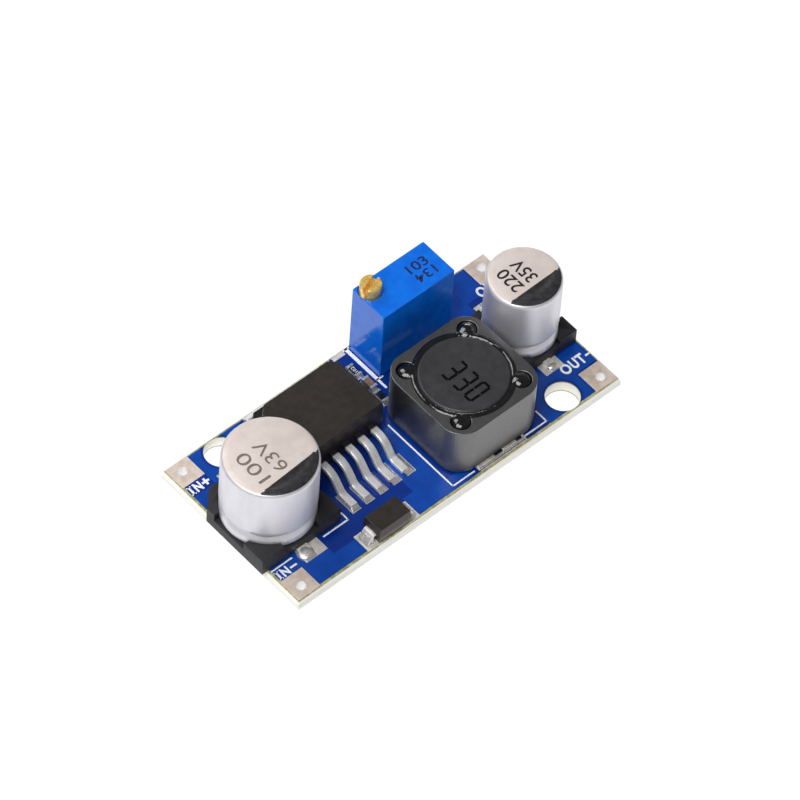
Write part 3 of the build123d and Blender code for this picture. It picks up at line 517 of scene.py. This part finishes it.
def gull_wing(x):
    """A strip drawn out of the case, down and along the land, rolled at its two bends."""
    deselect()
    bpy.ops.mesh.primitive_plane_add(size=1, location=(
        x * MM, (LEAD_ROOT + LEAD_SHOULDER) / 2 * MM, LEAD_LEVEL * MM))
    lead = bpy.context.object
    lead.scale = (LEAD_WIDTH * MM, (LEAD_ROOT - LEAD_SHOULDER) * MM, 1)
    bpy.ops.object.transform_apply(location=True, rotation=True, scale=True)
    choose(lead, lambda co: co.y < LEAD_SHOULDER + 0.01)
    for down, along in ((FOOT_LEVEL - LEAD_LEVEL, LEAD_HEEL - LEAD_SHOULDER), (0, LEAD_TOE - LEAD_HEEL)):
        bpy.ops.mesh.extrude_region_move(TRANSFORM_OT_translate={"value": (0, along * MM, down * MM)})
    bpy.ops.object.mode_set(mode="OBJECT")
    for bend, reach in LEAD_BENDS:
        choose(lead, lambda co: abs(co.y - bend) < 0.01)
        bpy.ops.mesh.bevel(offset=reach * MM, segments=8, affect="EDGES")
        bpy.ops.object.mode_set(mode="OBJECT")
    modify(lead, "SOLIDIFY", thickness=LEAD_THICKNESS * MM, offset=0)
    modify(lead, "BEVEL", width=0.06 * MM, segments=2, limit_method="ANGLE", angle_limit=math.radians(50))
    on_all(lead, bpy.ops.mesh.normals_make_consistent, inside=False)
    # smooth round the bends, flat on the broad faces
    bpy.ops.object.shade_smooth_by_angle(angle=math.radians(50))
    modify(lead, "WEIGHTED_NORMAL", weight=100, keep_sharp=True)
    return lead


for number in (1, 2, 4, 5):
    settle(gull_wing(LEAD_X[number]), f"regulator_pin_{number}", lead_material,
           replaces=(f"regulator_lead_{number}",))
# the middle lead runs on into the heat tab
heat_tab = eased("regulator_tab", "regulator_heat_tab", 0.06, limit=50)
on_all(heat_tab, bpy.ops.mesh.bisect, plane_co=(0, LEAD_ROOT * MM, 0), plane_no=(0, 1, 0),
       clear_inner=True, use_fill=True)
settle(join([gull_wing(LEAD_X[3]), heat_tab]), "regulator_heat_tab", lead_material,
       replaces=("regulator_tab",))

# Power inductor
# Pressed and fired nickel-zinc ferrite: charcoal, dull, faintly sandy, with softly tumbled edges.
# A drum core sits in the square shield and is held by black epoxy run into the gap.
# Ground ferrite: the wheel leaves the flange a flat charcoal grey, matt; its grain is drawn at 0.08 mm,
# coarser than the real one, which no picture shows.
# its sharp edges are painted paler: a painted highlight for the light rim of the flange's chamfer
ferrite_material = finish("ground_ferrite", (1.1, "#2a292c", "#333235"), (0.4, 0.32, 0.42), (0.08, 0.004),
                          detail=4.0, edge_highlight="#4a484b", IOR=1.6)
# Fired ferrite as pressed: nearly black, with the faint sheen of a dense oxide at a slant.
shield_material = finish("pressed_ferrite", (1.1, "#0f0e10", "#171618"), (0.4, 0.34, 0.42), detail=3.0,
                         IOR=2.3)
softened("inductor_shield", "inductor_housing", shield_material, 0.32, 4)
softened("inductor_core", "inductor_drum", ferrite_material, 0.05)

# Copper wire under clear brown enamel: deep orange metal, glossy, ridged turn by turn.
wire_material = finish("enamelled_copper_wire", (0.5, "#7a3a16", "#b8622c"), (0.4, 0.25, 0.4), (0.5, 0.03),
                       stretch=(0.2, 0.2, 2.4), Metallic=1.0)
dress(wire_material, "inductor_winding")

# The epoxy wets both edges of the gap and stands as four rounded blobs over the pockets: black glass.
INDUCTOR = (6.05, -3.47)
BEAD_RADIUS, BEAD_THICKNESS, BEAD_LEVEL = 5.06, 0.46, 8.02
POCKET_OFFSET, POCKET_LEVEL = 4.02, 8.0
epoxy_material = finish("cured_black_epoxy", (0.6, "#070707", "#121113"), (0.5, 0.06, 0.12), (0.8, 0.09),
                        detail=3.0, IOR=1.55, Coat_Weight=0.5, Coat_Roughness=0.05)
deselect()
bpy.ops.mesh.primitive_torus_add(
    major_segments=160, minor_segments=20, major_radius=BEAD_RADIUS * MM, minor_radius=BEAD_THICKNESS * MM,
    location=(INDUCTOR[0] * MM, INDUCTOR[1] * MM, BEAD_LEVEL * MM))
epoxy_parts = [bpy.context.object]
on_all(epoxy_parts[0], bpy.ops.transform.resize, value=(1, 1, 1.05))
# each blob is the side of its pocket in X and in Y, its half width and its half height
for side_x, side_y, wide, high in (
        (-1, -1, 1.12, 0.62), (-1, 1, 1.08, 0.6), (1, -1, 1.14, 0.66), (1, 1, 1.16, 0.7)):
    deselect()
    bpy.ops.mesh.primitive_uv_sphere_add(
        segments=32, ring_count=16, radius=1 * MM, location=(
            (INDUCTOR[0] + side_x * POCKET_OFFSET) * MM, (INDUCTOR[1] + side_y * POCKET_OFFSET) * MM,
            POCKET_LEVEL * MM))
    blob = bpy.context.object
    blob.scale = (wide, wide * 0.92, high)
    blob.rotation_euler[2] = math.radians(45 * side_x * side_y)
    bpy.ops.object.transform_apply(location=True, rotation=True, scale=True)
    epoxy_parts.append(blob)
epoxy = join(epoxy_parts)
modify(epoxy, "REMESH", mode="VOXEL", voxel_size=0.09 * MM)
modify(epoxy, "SMOOTH", factor=0.5, iterations=6)
bpy.ops.object.shade_smooth()
settle(epoxy, "inductor_epoxy", epoxy_material, replaces=("inductor_potting",))

# The value is burnt into the flange by a laser: thin straight strokes, darker than the ferrite.
# Ferrite roughened by the laser: it throws no light back, so the strokes look black.
mark_material = finish("laser_darkened_ferrite", (0.2, "#020202", "#070607"), (0.2, 0.75, 0.9), IOR=1.2)
CORE_TOP = 8.5
# the width, height and line of a figure, the middle of the row, and the gap at a stroke's ends
FIGURE = (0.95, 2.65, 0.3)
FIGURE_X = 5.61
STROKE_GAP = 0.06
strokes_of = {"3": ("top", "middle", "bottom", "right_up", "right_low"),
              "0": ("top", "bottom", "left_up", "left_low", "right_up", "right_low")}
value_marks = []
for figure, along in (("3", 0.93), ("3", -0.77), ("0", -2.46)):
    width, height, line = FIGURE
    segments = {
        "top": (0, height, width, height), "middle": (0, height / 2, width, height / 2),
        "bottom": (0, 0, width, 0), "left_up": (0, height / 2, 0, height), "left_low": (0, 0, 0, height / 2),
        "right_up": (width, height / 2, width, height), "right_low": (width, 0, width, height / 2)}
    for part in strokes_of[figure]:
        x0, y0, x1, y1 = segments[part]
        # read towards -Y with the tops of the figures towards +X
        ends = []
        for px, py in ((x0, y0), (x1, y1)):
            ends += [FIGURE_X - height / 2 + py, INDUCTOR[1] + along + width / 2 - px]
        length = math.hypot(ends[2] - ends[0], ends[3] - ends[1])
        trim = STROKE_GAP / length
        x0, y0, x1, y1 = ends
        value_marks.append(stroke(x0 + (x1 - x0) * trim, y0 + (y1 - y0) * trim, x1 - (x1 - x0) * trim,
                                  y1 - (y1 - y0) * trim, line, CORE_TOP - 0.01, CORE_TOP + 0.008))
settle(join(value_marks), "inductor_value", mark_material)

# Two tinned clips under the ferrite take the wire ends.
# Tinned copper, warmed by the soldering: silver with a trace of yellow, satin.
clip_material = finish("tinned_copper_clip", (0.5, "#c4bfb2", "#ebe7da"), (0.4, 0.36, 0.48), (0.4, 0.004),
                       Metallic=0.5)
front_clip = eased("inductor_front_strap", "inductor_front_clip", 0.04)
CLIP_NOTCHES = ((5.15, 6.25), (8.1, 8.85))
NOTCH_Y, NOTCH_Z = (-9.9, -9.3), (1.5, 2.5)
for low_x, high_x in CLIP_NOTCHES:
    cut(front_clip, slab(low_x, NOTCH_Y[0], high_x, NOTCH_Y[1], *NOTCH_Z))
settle(front_clip, "inductor_front_clip", clip_material,
       replaces=("inductor_front_strap",))
# dark pieces in the two notches: painted shade, where the notches are deep gaps
NOTCH_SHADE_GAP, NOTCH_SHADE_Y, NOTCH_SHADE_Z = 0.03, (-9.72, -9.4), (1.66, 1.93)
notch_shade_pieces = [slab(low_x + NOTCH_SHADE_GAP, NOTCH_SHADE_Y[0], high_x - NOTCH_SHADE_GAP, NOTCH_SHADE_Y[1], *NOTCH_SHADE_Z, 0.05)
              for low_x, high_x in CLIP_NOTCHES]
settle(join(notch_shade_pieces), "inductor_notch_fill", epoxy_material)
softened("inductor_back_strap", "inductor_back_clip", clip_material, 0.04)

# Electrolytic capacitors
# Deep-drawn aluminium cans under a clear lacquer, rolled into a groove over the rubber plug.
# Satin white silver on the wall, the flat top duller and painted warm and light as lit from above, a bright
# rounded rim.
CAN_BASE = 2.85
CAN_TOP = 11.85
NECK_DEPTH = 0.38
GROOVE_HEIGHT = 1.65
# faces that look up by more than this get the top's copy of the metal, painted light from above
TOP_SLOPE = 0.8
INPUT_CAN, INPUT_CAN_RADIUS = (-17.15, -0.45), 5.0
OUTPUT_CAN, OUTPUT_CAN_RADIUS = (17.2, 0.07), 3.975
# Drawn aluminium under clear lacquer: a cool, pale, satin metal, even from top to bottom.
can_material = finish("lacquered_aluminium", (1.6, "#d9d8de", "#e2e1e7"), (0.8, 0.42, 0.46), (0.5, 0.003),
                      stretch=(1, 1, 0.3), Metallic=0.65)
# The top gets a matt, warm, less metallic copy of the can metal: painted light from above, so the disc looks
# almost white.
top_painted_lit_material = finish("can_top_painted_lit", (1.4, "#dacdc6", "#e3d7d1"), (0.6, 0.42, 0.55), (0.25, 0.003),
                      detail=3.0, Metallic=0.25)
# Pad-printed black: soft sheen, cloudy where the ink is thin.
stripe_material = finish("black_pad_print", (0.5, "#1b1a1c", "#302e31"), (0.4, 0.35, 0.5), (0.2, 0.003),
                         detail=3.0, IOR=1.5)
# Stamped inks: a thin brown-grey one that lets the metal through, and a full black one.
thin_ink_material = finish("thin_brown_ink", (0.15, "#665c57", "#83786f"), (0.3, 0.45, 0.6), IOR=1.5)
bold_ink_material = finish("bold_black_ink", (0.2, "#0c0b0c", "#1d1b1c"), (0.3, 0.4, 0.55), IOR=1.5)


def can_shell(name, centre, radius, node_name):
    """Half a section, drawn as a line of edges and spun about the upright axis."""
    neck = radius - NECK_DEPTH
    groove = CAN_BASE + GROOVE_HEIGHT
    section = [
        (0.0, CAN_BASE + 0.02), (radius - 0.45, CAN_BASE + 0.02), (radius - 0.14, CAN_BASE + 0.1),
        (radius - 0.02, CAN_BASE + 0.32), (radius, CAN_BASE + 0.62), (radius - 0.02, CAN_BASE + 0.95),
        (radius - 0.13, CAN_BASE + 1.24), (neck + 0.06, groove - 0.17), (neck, groove),
        (neck + 0.06, groove + 0.17), (radius - 0.13, groove + 0.4), (radius - 0.02, groove + 0.62),
        (radius, groove + 0.95), (radius, CAN_TOP - 0.75)]
    bend = 0.5
    for step in range(1, 9):
        angle = math.radians(step * 90 / 8)
        section.append((radius - bend + bend * math.cos(angle),
                        CAN_TOP - 0.06 - bend + bend * math.sin(angle)))
    section += [(radius - bend - 0.12, CAN_TOP - 0.035), (radius - bend - 0.3, CAN_TOP), (0.0, CAN_TOP)]
    deselect()
    bpy.ops.mesh.primitive_circle_add(vertices=len(section), radius=MM)
    shell = bpy.context.object
    for vertex, (out, height) in zip(shell.data.vertices, section):
        vertex.co = (out * MM, 0, height * MM)
    on_all(shell, bpy.ops.mesh.spin, steps=96, angle=math.tau, center=(0, 0, 0), axis=(0, 0, 1))
    on_all(shell, bpy.ops.mesh.remove_doubles, threshold=0.002 * MM)
    on_all(shell, bpy.ops.mesh.normals_make_consistent, inside=False)
    shell.location = (centre[0] * MM, centre[1] * MM, 0)
    bpy.ops.object.shade_smooth_by_angle(angle=math.radians(40))
    settle(shell, name, can_material, replaces=(node_name,))
    shell.data.materials.append(top_painted_lit_material)
    # the top faces take the copy with painted light from above
    for face in shell.data.polygons:
        if face.normal.z > TOP_SLOPE and face.center.z > (CAN_TOP - 1) * MM:
            face.material_index = 1
    return shell


def can_stripe(name, shell, chord):
    """The dark segment on the minus side: the printed part of the top beyond a chord, lifted by the ink."""
    segment = bpy.data.objects.new(name, shell.data.copy())
    bpy.context.scene.collection.objects.link(segment)
    (x0, y0), (x1, y1) = chord
    pick(segment)
    across = Vector((y0 - y1, x1 - x0, 0)).normalized()
    for group in (segment.data.edges, segment.data.vertices):
        for element in group:
            element.select = False
    for face in segment.data.polygons:
        face.select = face.material_index == 0
    bpy.ops.object.mode_set(mode="EDIT")
    bpy.ops.mesh.select_mode(type="FACE")
    bpy.ops.mesh.delete(type="FACE")
    bpy.ops.object.mode_set(mode="OBJECT")
    on_all(segment, bpy.ops.mesh.bisect, plane_co=(x0 * MM, y0 * MM, 0), plane_no=across, clear_outer=True)
    modify(segment, "SOLIDIFY", thickness=0.02 * MM, offset=1)
    settle(segment, name, stripe_material)


input_can = can_shell("input_can", INPUT_CAN, INPUT_CAN_RADIUS, "input_capacitor_can")
output_can = can_shell("output_can", OUTPUT_CAN, OUTPUT_CAN_RADIUS, "output_capacitor_can")
can_stripe("input_can_stripe", input_can, ((-20.0, -3.25), (-14.0, -2.9)))
can_stripe("output_can_stripe", output_can, ((14.0, -1.5), (20.0, -1.4)))
can_prints = {
    "input_can_value": (thin_ink_material, 0.0, [
        ("100", (-19.5, -0.45), (4.0, 1.5)), ("63V", (-17.25, -0.5), (4.1, 1.5))]),
    "output_can_value": (bold_ink_material, 0.012, [
        ("220", (15.64, 0.56), (3.0, 1.45)), ("35V", (17.55, 0.6), (2.95, 1.45))]),
}
for name, (ink, bolder, lines) in can_prints.items():
    print_parts = [lettering(text, centre, size, CAN_TOP - 0.005, 0.02, turn=90, bolder=bolder)
                   for text, centre, size in lines]
    settle(join(print_parts), name, ink)

# The bases are moulded, with the plus corners cut off. Black polyamide filled with glass fibre:
# dull satin, edges painted a shade paler as a painted highlight; its grain is drawn at 0.08 mm.
plastic_material = finish("black_polyamide", (0.8, "#070709", "#0f0f12"), (0.5, 0.46, 0.56), (0.08, 0.004),
                          edge_highlight="#333337", IOR=1.42)
for side in ("input", "output"):
    softened(f"{side}_capacitor_base", f"{side}_can_base", plastic_material, 0.08)
    for pole in ("plus", "minus"):
        softened(f"{side}_capacitor_{pole}_lead", f"{side}_can_{pole}_tab", plate_material,
                 0.04)

# Catch diode
# The same moulding compound as the regulator in a small drafted case, with tinned leads
# folded down its ends and under it.
softened("diode_body", "diode_case", case_material, 0.08, 3)
softened("diode_cathode_lead", "diode_left_lead", plate_material, 0.03)
softened("diode_anode_lead", "diode_right_lead", plate_material, 0.03)

# Chip parts
# Two thick-film resistors, white alumina under a black glaze, and a fired brown ceramic capacitor.
# Each end is dipped in silver and plated with bright tin.
# Tin over silver on a rounded end: small, bright and slightly uneven.
cap_material = finish("plated_chip_end", (0.2, "#c4bfb7", "#ece8e2"), (0.15, 0.28, 0.42), (0.15, 0.006),
                      Metallic=0.9)
# Black glass glaze on white alumina: a smooth blue-black top over pale, matt sides.
glaze_material = finish("black_resistor_glaze", (0.2, "#0a0b10", "#16171e"), (0.2, 0.2, 0.34), (0.15, 0.004),
                        IOR=1.52)
GLAZE_LEVEL = (1.97, 2.03)
glaze_place = add_node(glaze_material, "ShaderNodeTexCoord")
glaze_axes = add_node(glaze_material, "ShaderNodeSeparateXYZ", {"Vector": glaze_place.outputs["Object"]})
glaze_top = add_node(glaze_material, "ShaderNodeMapRange", {
    "Value": glaze_axes.outputs["Z"], "From Min": GLAZE_LEVEL[0] * MM,
    "From Max": GLAZE_LEVEL[1] * MM})
bare_alumina = add_node(glaze_material, "ShaderNodeValToRGB", {"Fac": spots(glaze_material, 0.2)},
                        [(0.3, "#c9c6be"), (0.7, "#e6e3da")])
glaze_colour = add_node(glaze_material, "ShaderNodeMix", {
    "Factor": glaze_top.outputs["Result"], "A": bare_alumina.outputs["Color"],
    "B": feed_of(glaze_material)}, data_type="RGBA")
recolour(glaze_material, glaze_colour.outputs["Result"])
# Fired titanate: milky brown, semi-gloss, the same on every side.
ceramic_material = finish("fired_brown_ceramic", (0.25, "#6d5540", "#8b6f55"), (0.2, 0.3, 0.45), (0.1, 0.004),
                          IOR=1.6)
for chip, block_material, slot_name in (
        ("feedback_resistor", glaze_material, "chip_resistor_ceramic"),
        ("divider_resistor", glaze_material, "chip_resistor_ceramic"),
        ("compensation_capacitor", ceramic_material, "chip_capacitor_ceramic")):
    softened(f"{chip}_block", f"{chip}_ceramic", block_material, 0.02)
    softened(f"{chip}_caps", f"{chip}_ends", cap_material, 0.03)

# A plain value is printed in white on the glaze of the upper resistor.
resistor_print = lettering("102", (1.25, 7.35), (0.78, 0.42), 2.06, 0.015, turn=90)
settle(resistor_print, "resistor_value", legend_material)

# Trimmer
# A housing of blue thermoset, moulded with crisp edges: saturated, semi-gloss, faintly scuffed.
# A brass screw with a slotted head turns a plastic worm wheel that carries the wiper.
# Blue moulded thermoset: saturated and glossy, its faces mirror the floor and the board softly.
blue_material = finish("blue_thermoset", (1.2, "#0868dc", "#0e74e8"), (0.9, 0.07, 0.13), (0.7, 0.006),
                       detail=3.0, IOR=1.48)
softened("trimmer_housing", "trimmer_case", blue_material, 0.05)

# Turned brass: warm yellow metal, satin from the tool marks, which are finer than the grain drawn.
brass_material = finish("turned_brass", (0.5, "#ffc658", "#ffe698"), (0.5, 0.24, 0.34), (0.5, 0.002),
                        Metallic=0.55)
softened("trimmer_screw", "trimmer_brass_screw", brass_material, 0.05, body="screw", limit=60)

# Nitrile rubber: dull soot black, the only soft part.
rubber_material = finish("black_nitrile_rubber", (0.2, "#121212", "#1e1e1e"), (0.2, 0.55, 0.7), IOR=1.52)
dress(rubber_material, "trimmer_seal_ring")
# Unpigmented acetal: waxy off-white with a soft gloss.
wheel_material = finish("natural_acetal", (0.6, "#d9d8d0", "#eeede6"), (0.4, 0.3, 0.42), IOR=1.48)
dress(wheel_material, "trimmer_wheel")
# Rolled spring bronze: reddish gold metal, bright from the rolls.
bronze_material = finish("rolled_spring_bronze", (0.3, "#a9713c", "#c98f55"), (0.3, 0.22, 0.34), Metallic=1.0)
dress(bronze_material, "trimmer_wiper")
# Fired alumina: chalk white and matt, the plate that carries the resistive track.
alumina_material = finish("fired_white_alumina", (0.5, "#dcdbd5", "#f1f0ea"), (0.3, 0.5, 0.62), IOR=1.76)
dress(alumina_material, "trimmer_element")
# Potting resin poured into the open underside: dark blue, glossy, sunk a little as it cured.
resin_material = finish("blue_sealing_resin", (0.9, "#123a86", "#1c4ca0"), (0.5, 0.25, 0.45), (0.9, 0.02),
                        IOR=1.52)
dress(resin_material, "trimmer_seal")
dress(plate_material, "trimmer_pin_1", "trimmer_pin_2", "trimmer_pin_3")

# Figures printed on the top in navy ink, darker than the housing and duller than its gloss.
TRIMMER_TOP = 11.68
navy_material = finish("navy_pad_print", (0.2, "#041a50", "#082464"), (0.2, 0.35, 0.5), IOR=1.5)
trimmer_print = [
    lettering("103", (9.8, 8.12), (2.5, 1.2), TRIMMER_TOP - 0.01, 0.02, bolder=0.014),
    lettering("134", (9.8, 6.68), (2.5, 1.15), TRIMMER_TOP - 0.01, 0.02, turn=180, bolder=0.014)]
settle(join(trimmer_print), "trimmer_value", navy_material)

# Solder
# Tin-lead or tin-copper solder, reflowed and touched up by hand: mirror-bright, rounded fillets
# that wet the leads and the lands, a little lumpy.
solder_material = finish("reflowed_solder", (0.5, "#dad7d2", "#f0eeea"), (0.5, 0.22, 0.3), (0.5, 0.012),
                         detail=3.0, Metallic=0.7)


def melted(node_name, name, voxel, rounds):
    """A CAD solder fillet run together and relaxed, as it looks once it has frozen."""
    piece = copied(node_name, name)
    modify(piece, "REMESH", mode="VOXEL", voxel_size=voxel * MM)
    modify(piece, "SMOOTH", factor=0.5, iterations=rounds)
    bpy.ops.object.shade_smooth()
    settle(piece, name, solder_material, replaces=(node_name,))


for part, voxel, rounds in (("regulator", 0.06, 3), ("diode", 0.05, 4), ("chip", 0.03, 3),
                            ("capacitor", 0.05, 3), ("inductor", 0.04, 2), ("trimmer", 0.06, 3)):
    melted(f"{part}_solder", f"{part}_fillets", voxel, rounds)

# A bead of solder runs along the lip of the front clip and another along the edge of its land.
beads = [slab(*ends, 0.05) for ends in (
    (2.97, -9.72, 5.15, -9.62, 1.7, 1.9), (6.25, -9.72, 8.1, -9.62, 1.7, 1.9),
    (2.9, -10.12, 9.2, -10.0, 1.6, 1.71))]
settle(join(beads), "clip_solder_beads", solder_material)

# Blobs left by hand soldering at the minus lead of the input capacitor and at the diode.
blob_random = random.Random(7)
blobs = []
# each blob is its centre and its half width, depth and height
for x, y, z, wide, deep, high in (
        (-17.25, -6.35, 1.62, 0.95, 0.98, 0.42), (-10.95, -8.75, 1.68, 0.5, 0.75, 1.0),
        (-11.4, -9.0, 1.64, 0.6, 0.75, 0.4), (17.25, -5.0, 1.64, 0.62, 0.4, 0.34)):
    deselect()
    bpy.ops.mesh.primitive_ico_sphere_add(subdivisions=4, radius=1 * MM, location=(x * MM, y * MM, z * MM))
    drop = bpy.context.object
    drop.scale = (wide, deep, high)
    bpy.ops.object.transform_apply(location=True, rotation=True, scale=True)
    on_all(drop, bpy.ops.transform.vertex_random, offset=0.03 * MM, seed=blob_random.randint(0, 999))
    on_all(drop, bpy.ops.mesh.vertices_smooth, factor=0.5, repeat=4)
    bpy.ops.object.shade_smooth()
    blobs.append(drop)
settle(join(blobs), "hand_soldered_blobs", solder_material)

# Floor, light and camera
# A light table of opal acrylic, lit from below so that it shows pure white: the module stands on the
# tips of the trimmer pins and the rim of the board.
TABLE_SLOPE = -0.0477
PIN_TIPS_Y, PIN_TIPS_Z = 7.57, -0.9
deselect()
bpy.ops.mesh.primitive_plane_add(size=3.0, location=(0, PIN_TIPS_Y * MM, PIN_TIPS_Z * MM),
                                 rotation=(math.atan(TABLE_SLOPE), 0, 0))
floor = bpy.context.object
floor.name = "studio_floor"
floor_material = finish("lit_opal_acrylic", (40.0, "#58585a", "#5e5e60"), (20.0, 0.7, 0.9), IOR=1.4,
                        Emission_Color=(1, 1, 1, 1), Emission_Strength=0.96)
floor.data.materials.append(floor_material)

world = bpy.context.scene.world or bpy.data.worlds.new("studio")
bpy.context.scene.world = world
world.use_nodes = True
backdrop = world.node_tree.nodes["Background"]
backdrop.inputs["Color"].default_value = (1, 1, 1, 1)
backdrop.inputs["Strength"].default_value = 0.16


def area_light(name, place, aim, size, power):
    """A rectangular softbox turned towards the point that it is aimed at, in metres and watts."""
    light = bpy.data.lights.new(name, "AREA")
    light.shape = "RECTANGLE"
    light.size, light.size_y = size
    light.energy = power
    lamp = bpy.data.objects.new(name, light)
    bpy.context.scene.collection.objects.link(lamp)
    lamp.location = place
    lamp.rotation_euler = (Vector(aim) - Vector(place)).to_track_quat("-Z", "Y").to_euler()


area_light("key_softbox", (-0.3, -0.08, 0.56), (0, 0, 0), (0.42, 0.42), 3.3)
area_light("rear_softbox", (-0.06, 0.41, 0.5), (0, 0, 0), (0.3, 0.3), 1.3)
area_light("back_strip", (0.43, 0.43, 0.2), (0, 0, 0.005), (0.22, 0.06), 0.32)

# the camera was fitted to points of the module in the picture
CAMERA_AZIMUTH = math.radians(-45.2926)
CAMERA_ELEVATION = math.radians(53.6627)
CAMERA_ROLL = math.radians(4.6011)
CAMERA_DISTANCE = 665.9667 * MM
CAMERA_TARGET = Vector((2.5475, 1.7777, 1.6)) * MM
FOCAL_PIXELS = 6579.203
PICTURE_PIXELS = 800
SENSOR_WIDTH = 36.0
back = Vector((math.sin(CAMERA_AZIMUTH) * math.cos(CAMERA_ELEVATION),
               -math.cos(CAMERA_AZIMUTH) * math.cos(CAMERA_ELEVATION), math.sin(CAMERA_ELEVATION)))
level_right = Vector((math.cos(CAMERA_AZIMUTH), math.sin(CAMERA_AZIMUTH), 0))
level_up = back.cross(level_right)
right = level_right * math.cos(CAMERA_ROLL) + level_up * math.sin(CAMERA_ROLL)
up = -level_right * math.sin(CAMERA_ROLL) + level_up * math.cos(CAMERA_ROLL)
camera_data = bpy.data.cameras.new("photo_camera")
camera_data.sensor_width = SENSOR_WIDTH
camera_data.lens = FOCAL_PIXELS * SENSOR_WIDTH / PICTURE_PIXELS
camera_data.clip_start = 0.01
camera_data.clip_end = 10
camera = bpy.data.objects.new("photo_camera", camera_data)
bpy.context.scene.collection.objects.link(camera)
stand = CAMERA_TARGET + back * CAMERA_DISTANCE
camera.matrix_world = Matrix(((right.x, up.x, back.x, stand.x), (right.y, up.y, back.y, stand.y),
                              (right.z, up.z, back.z, stand.z), (0, 0, 0, 1)))
bpy.context.scene.camera = camera
bpy.context.scene.view_settings.view_transform = "Standard"
bpy.context.scene.view_settings.look = "None"
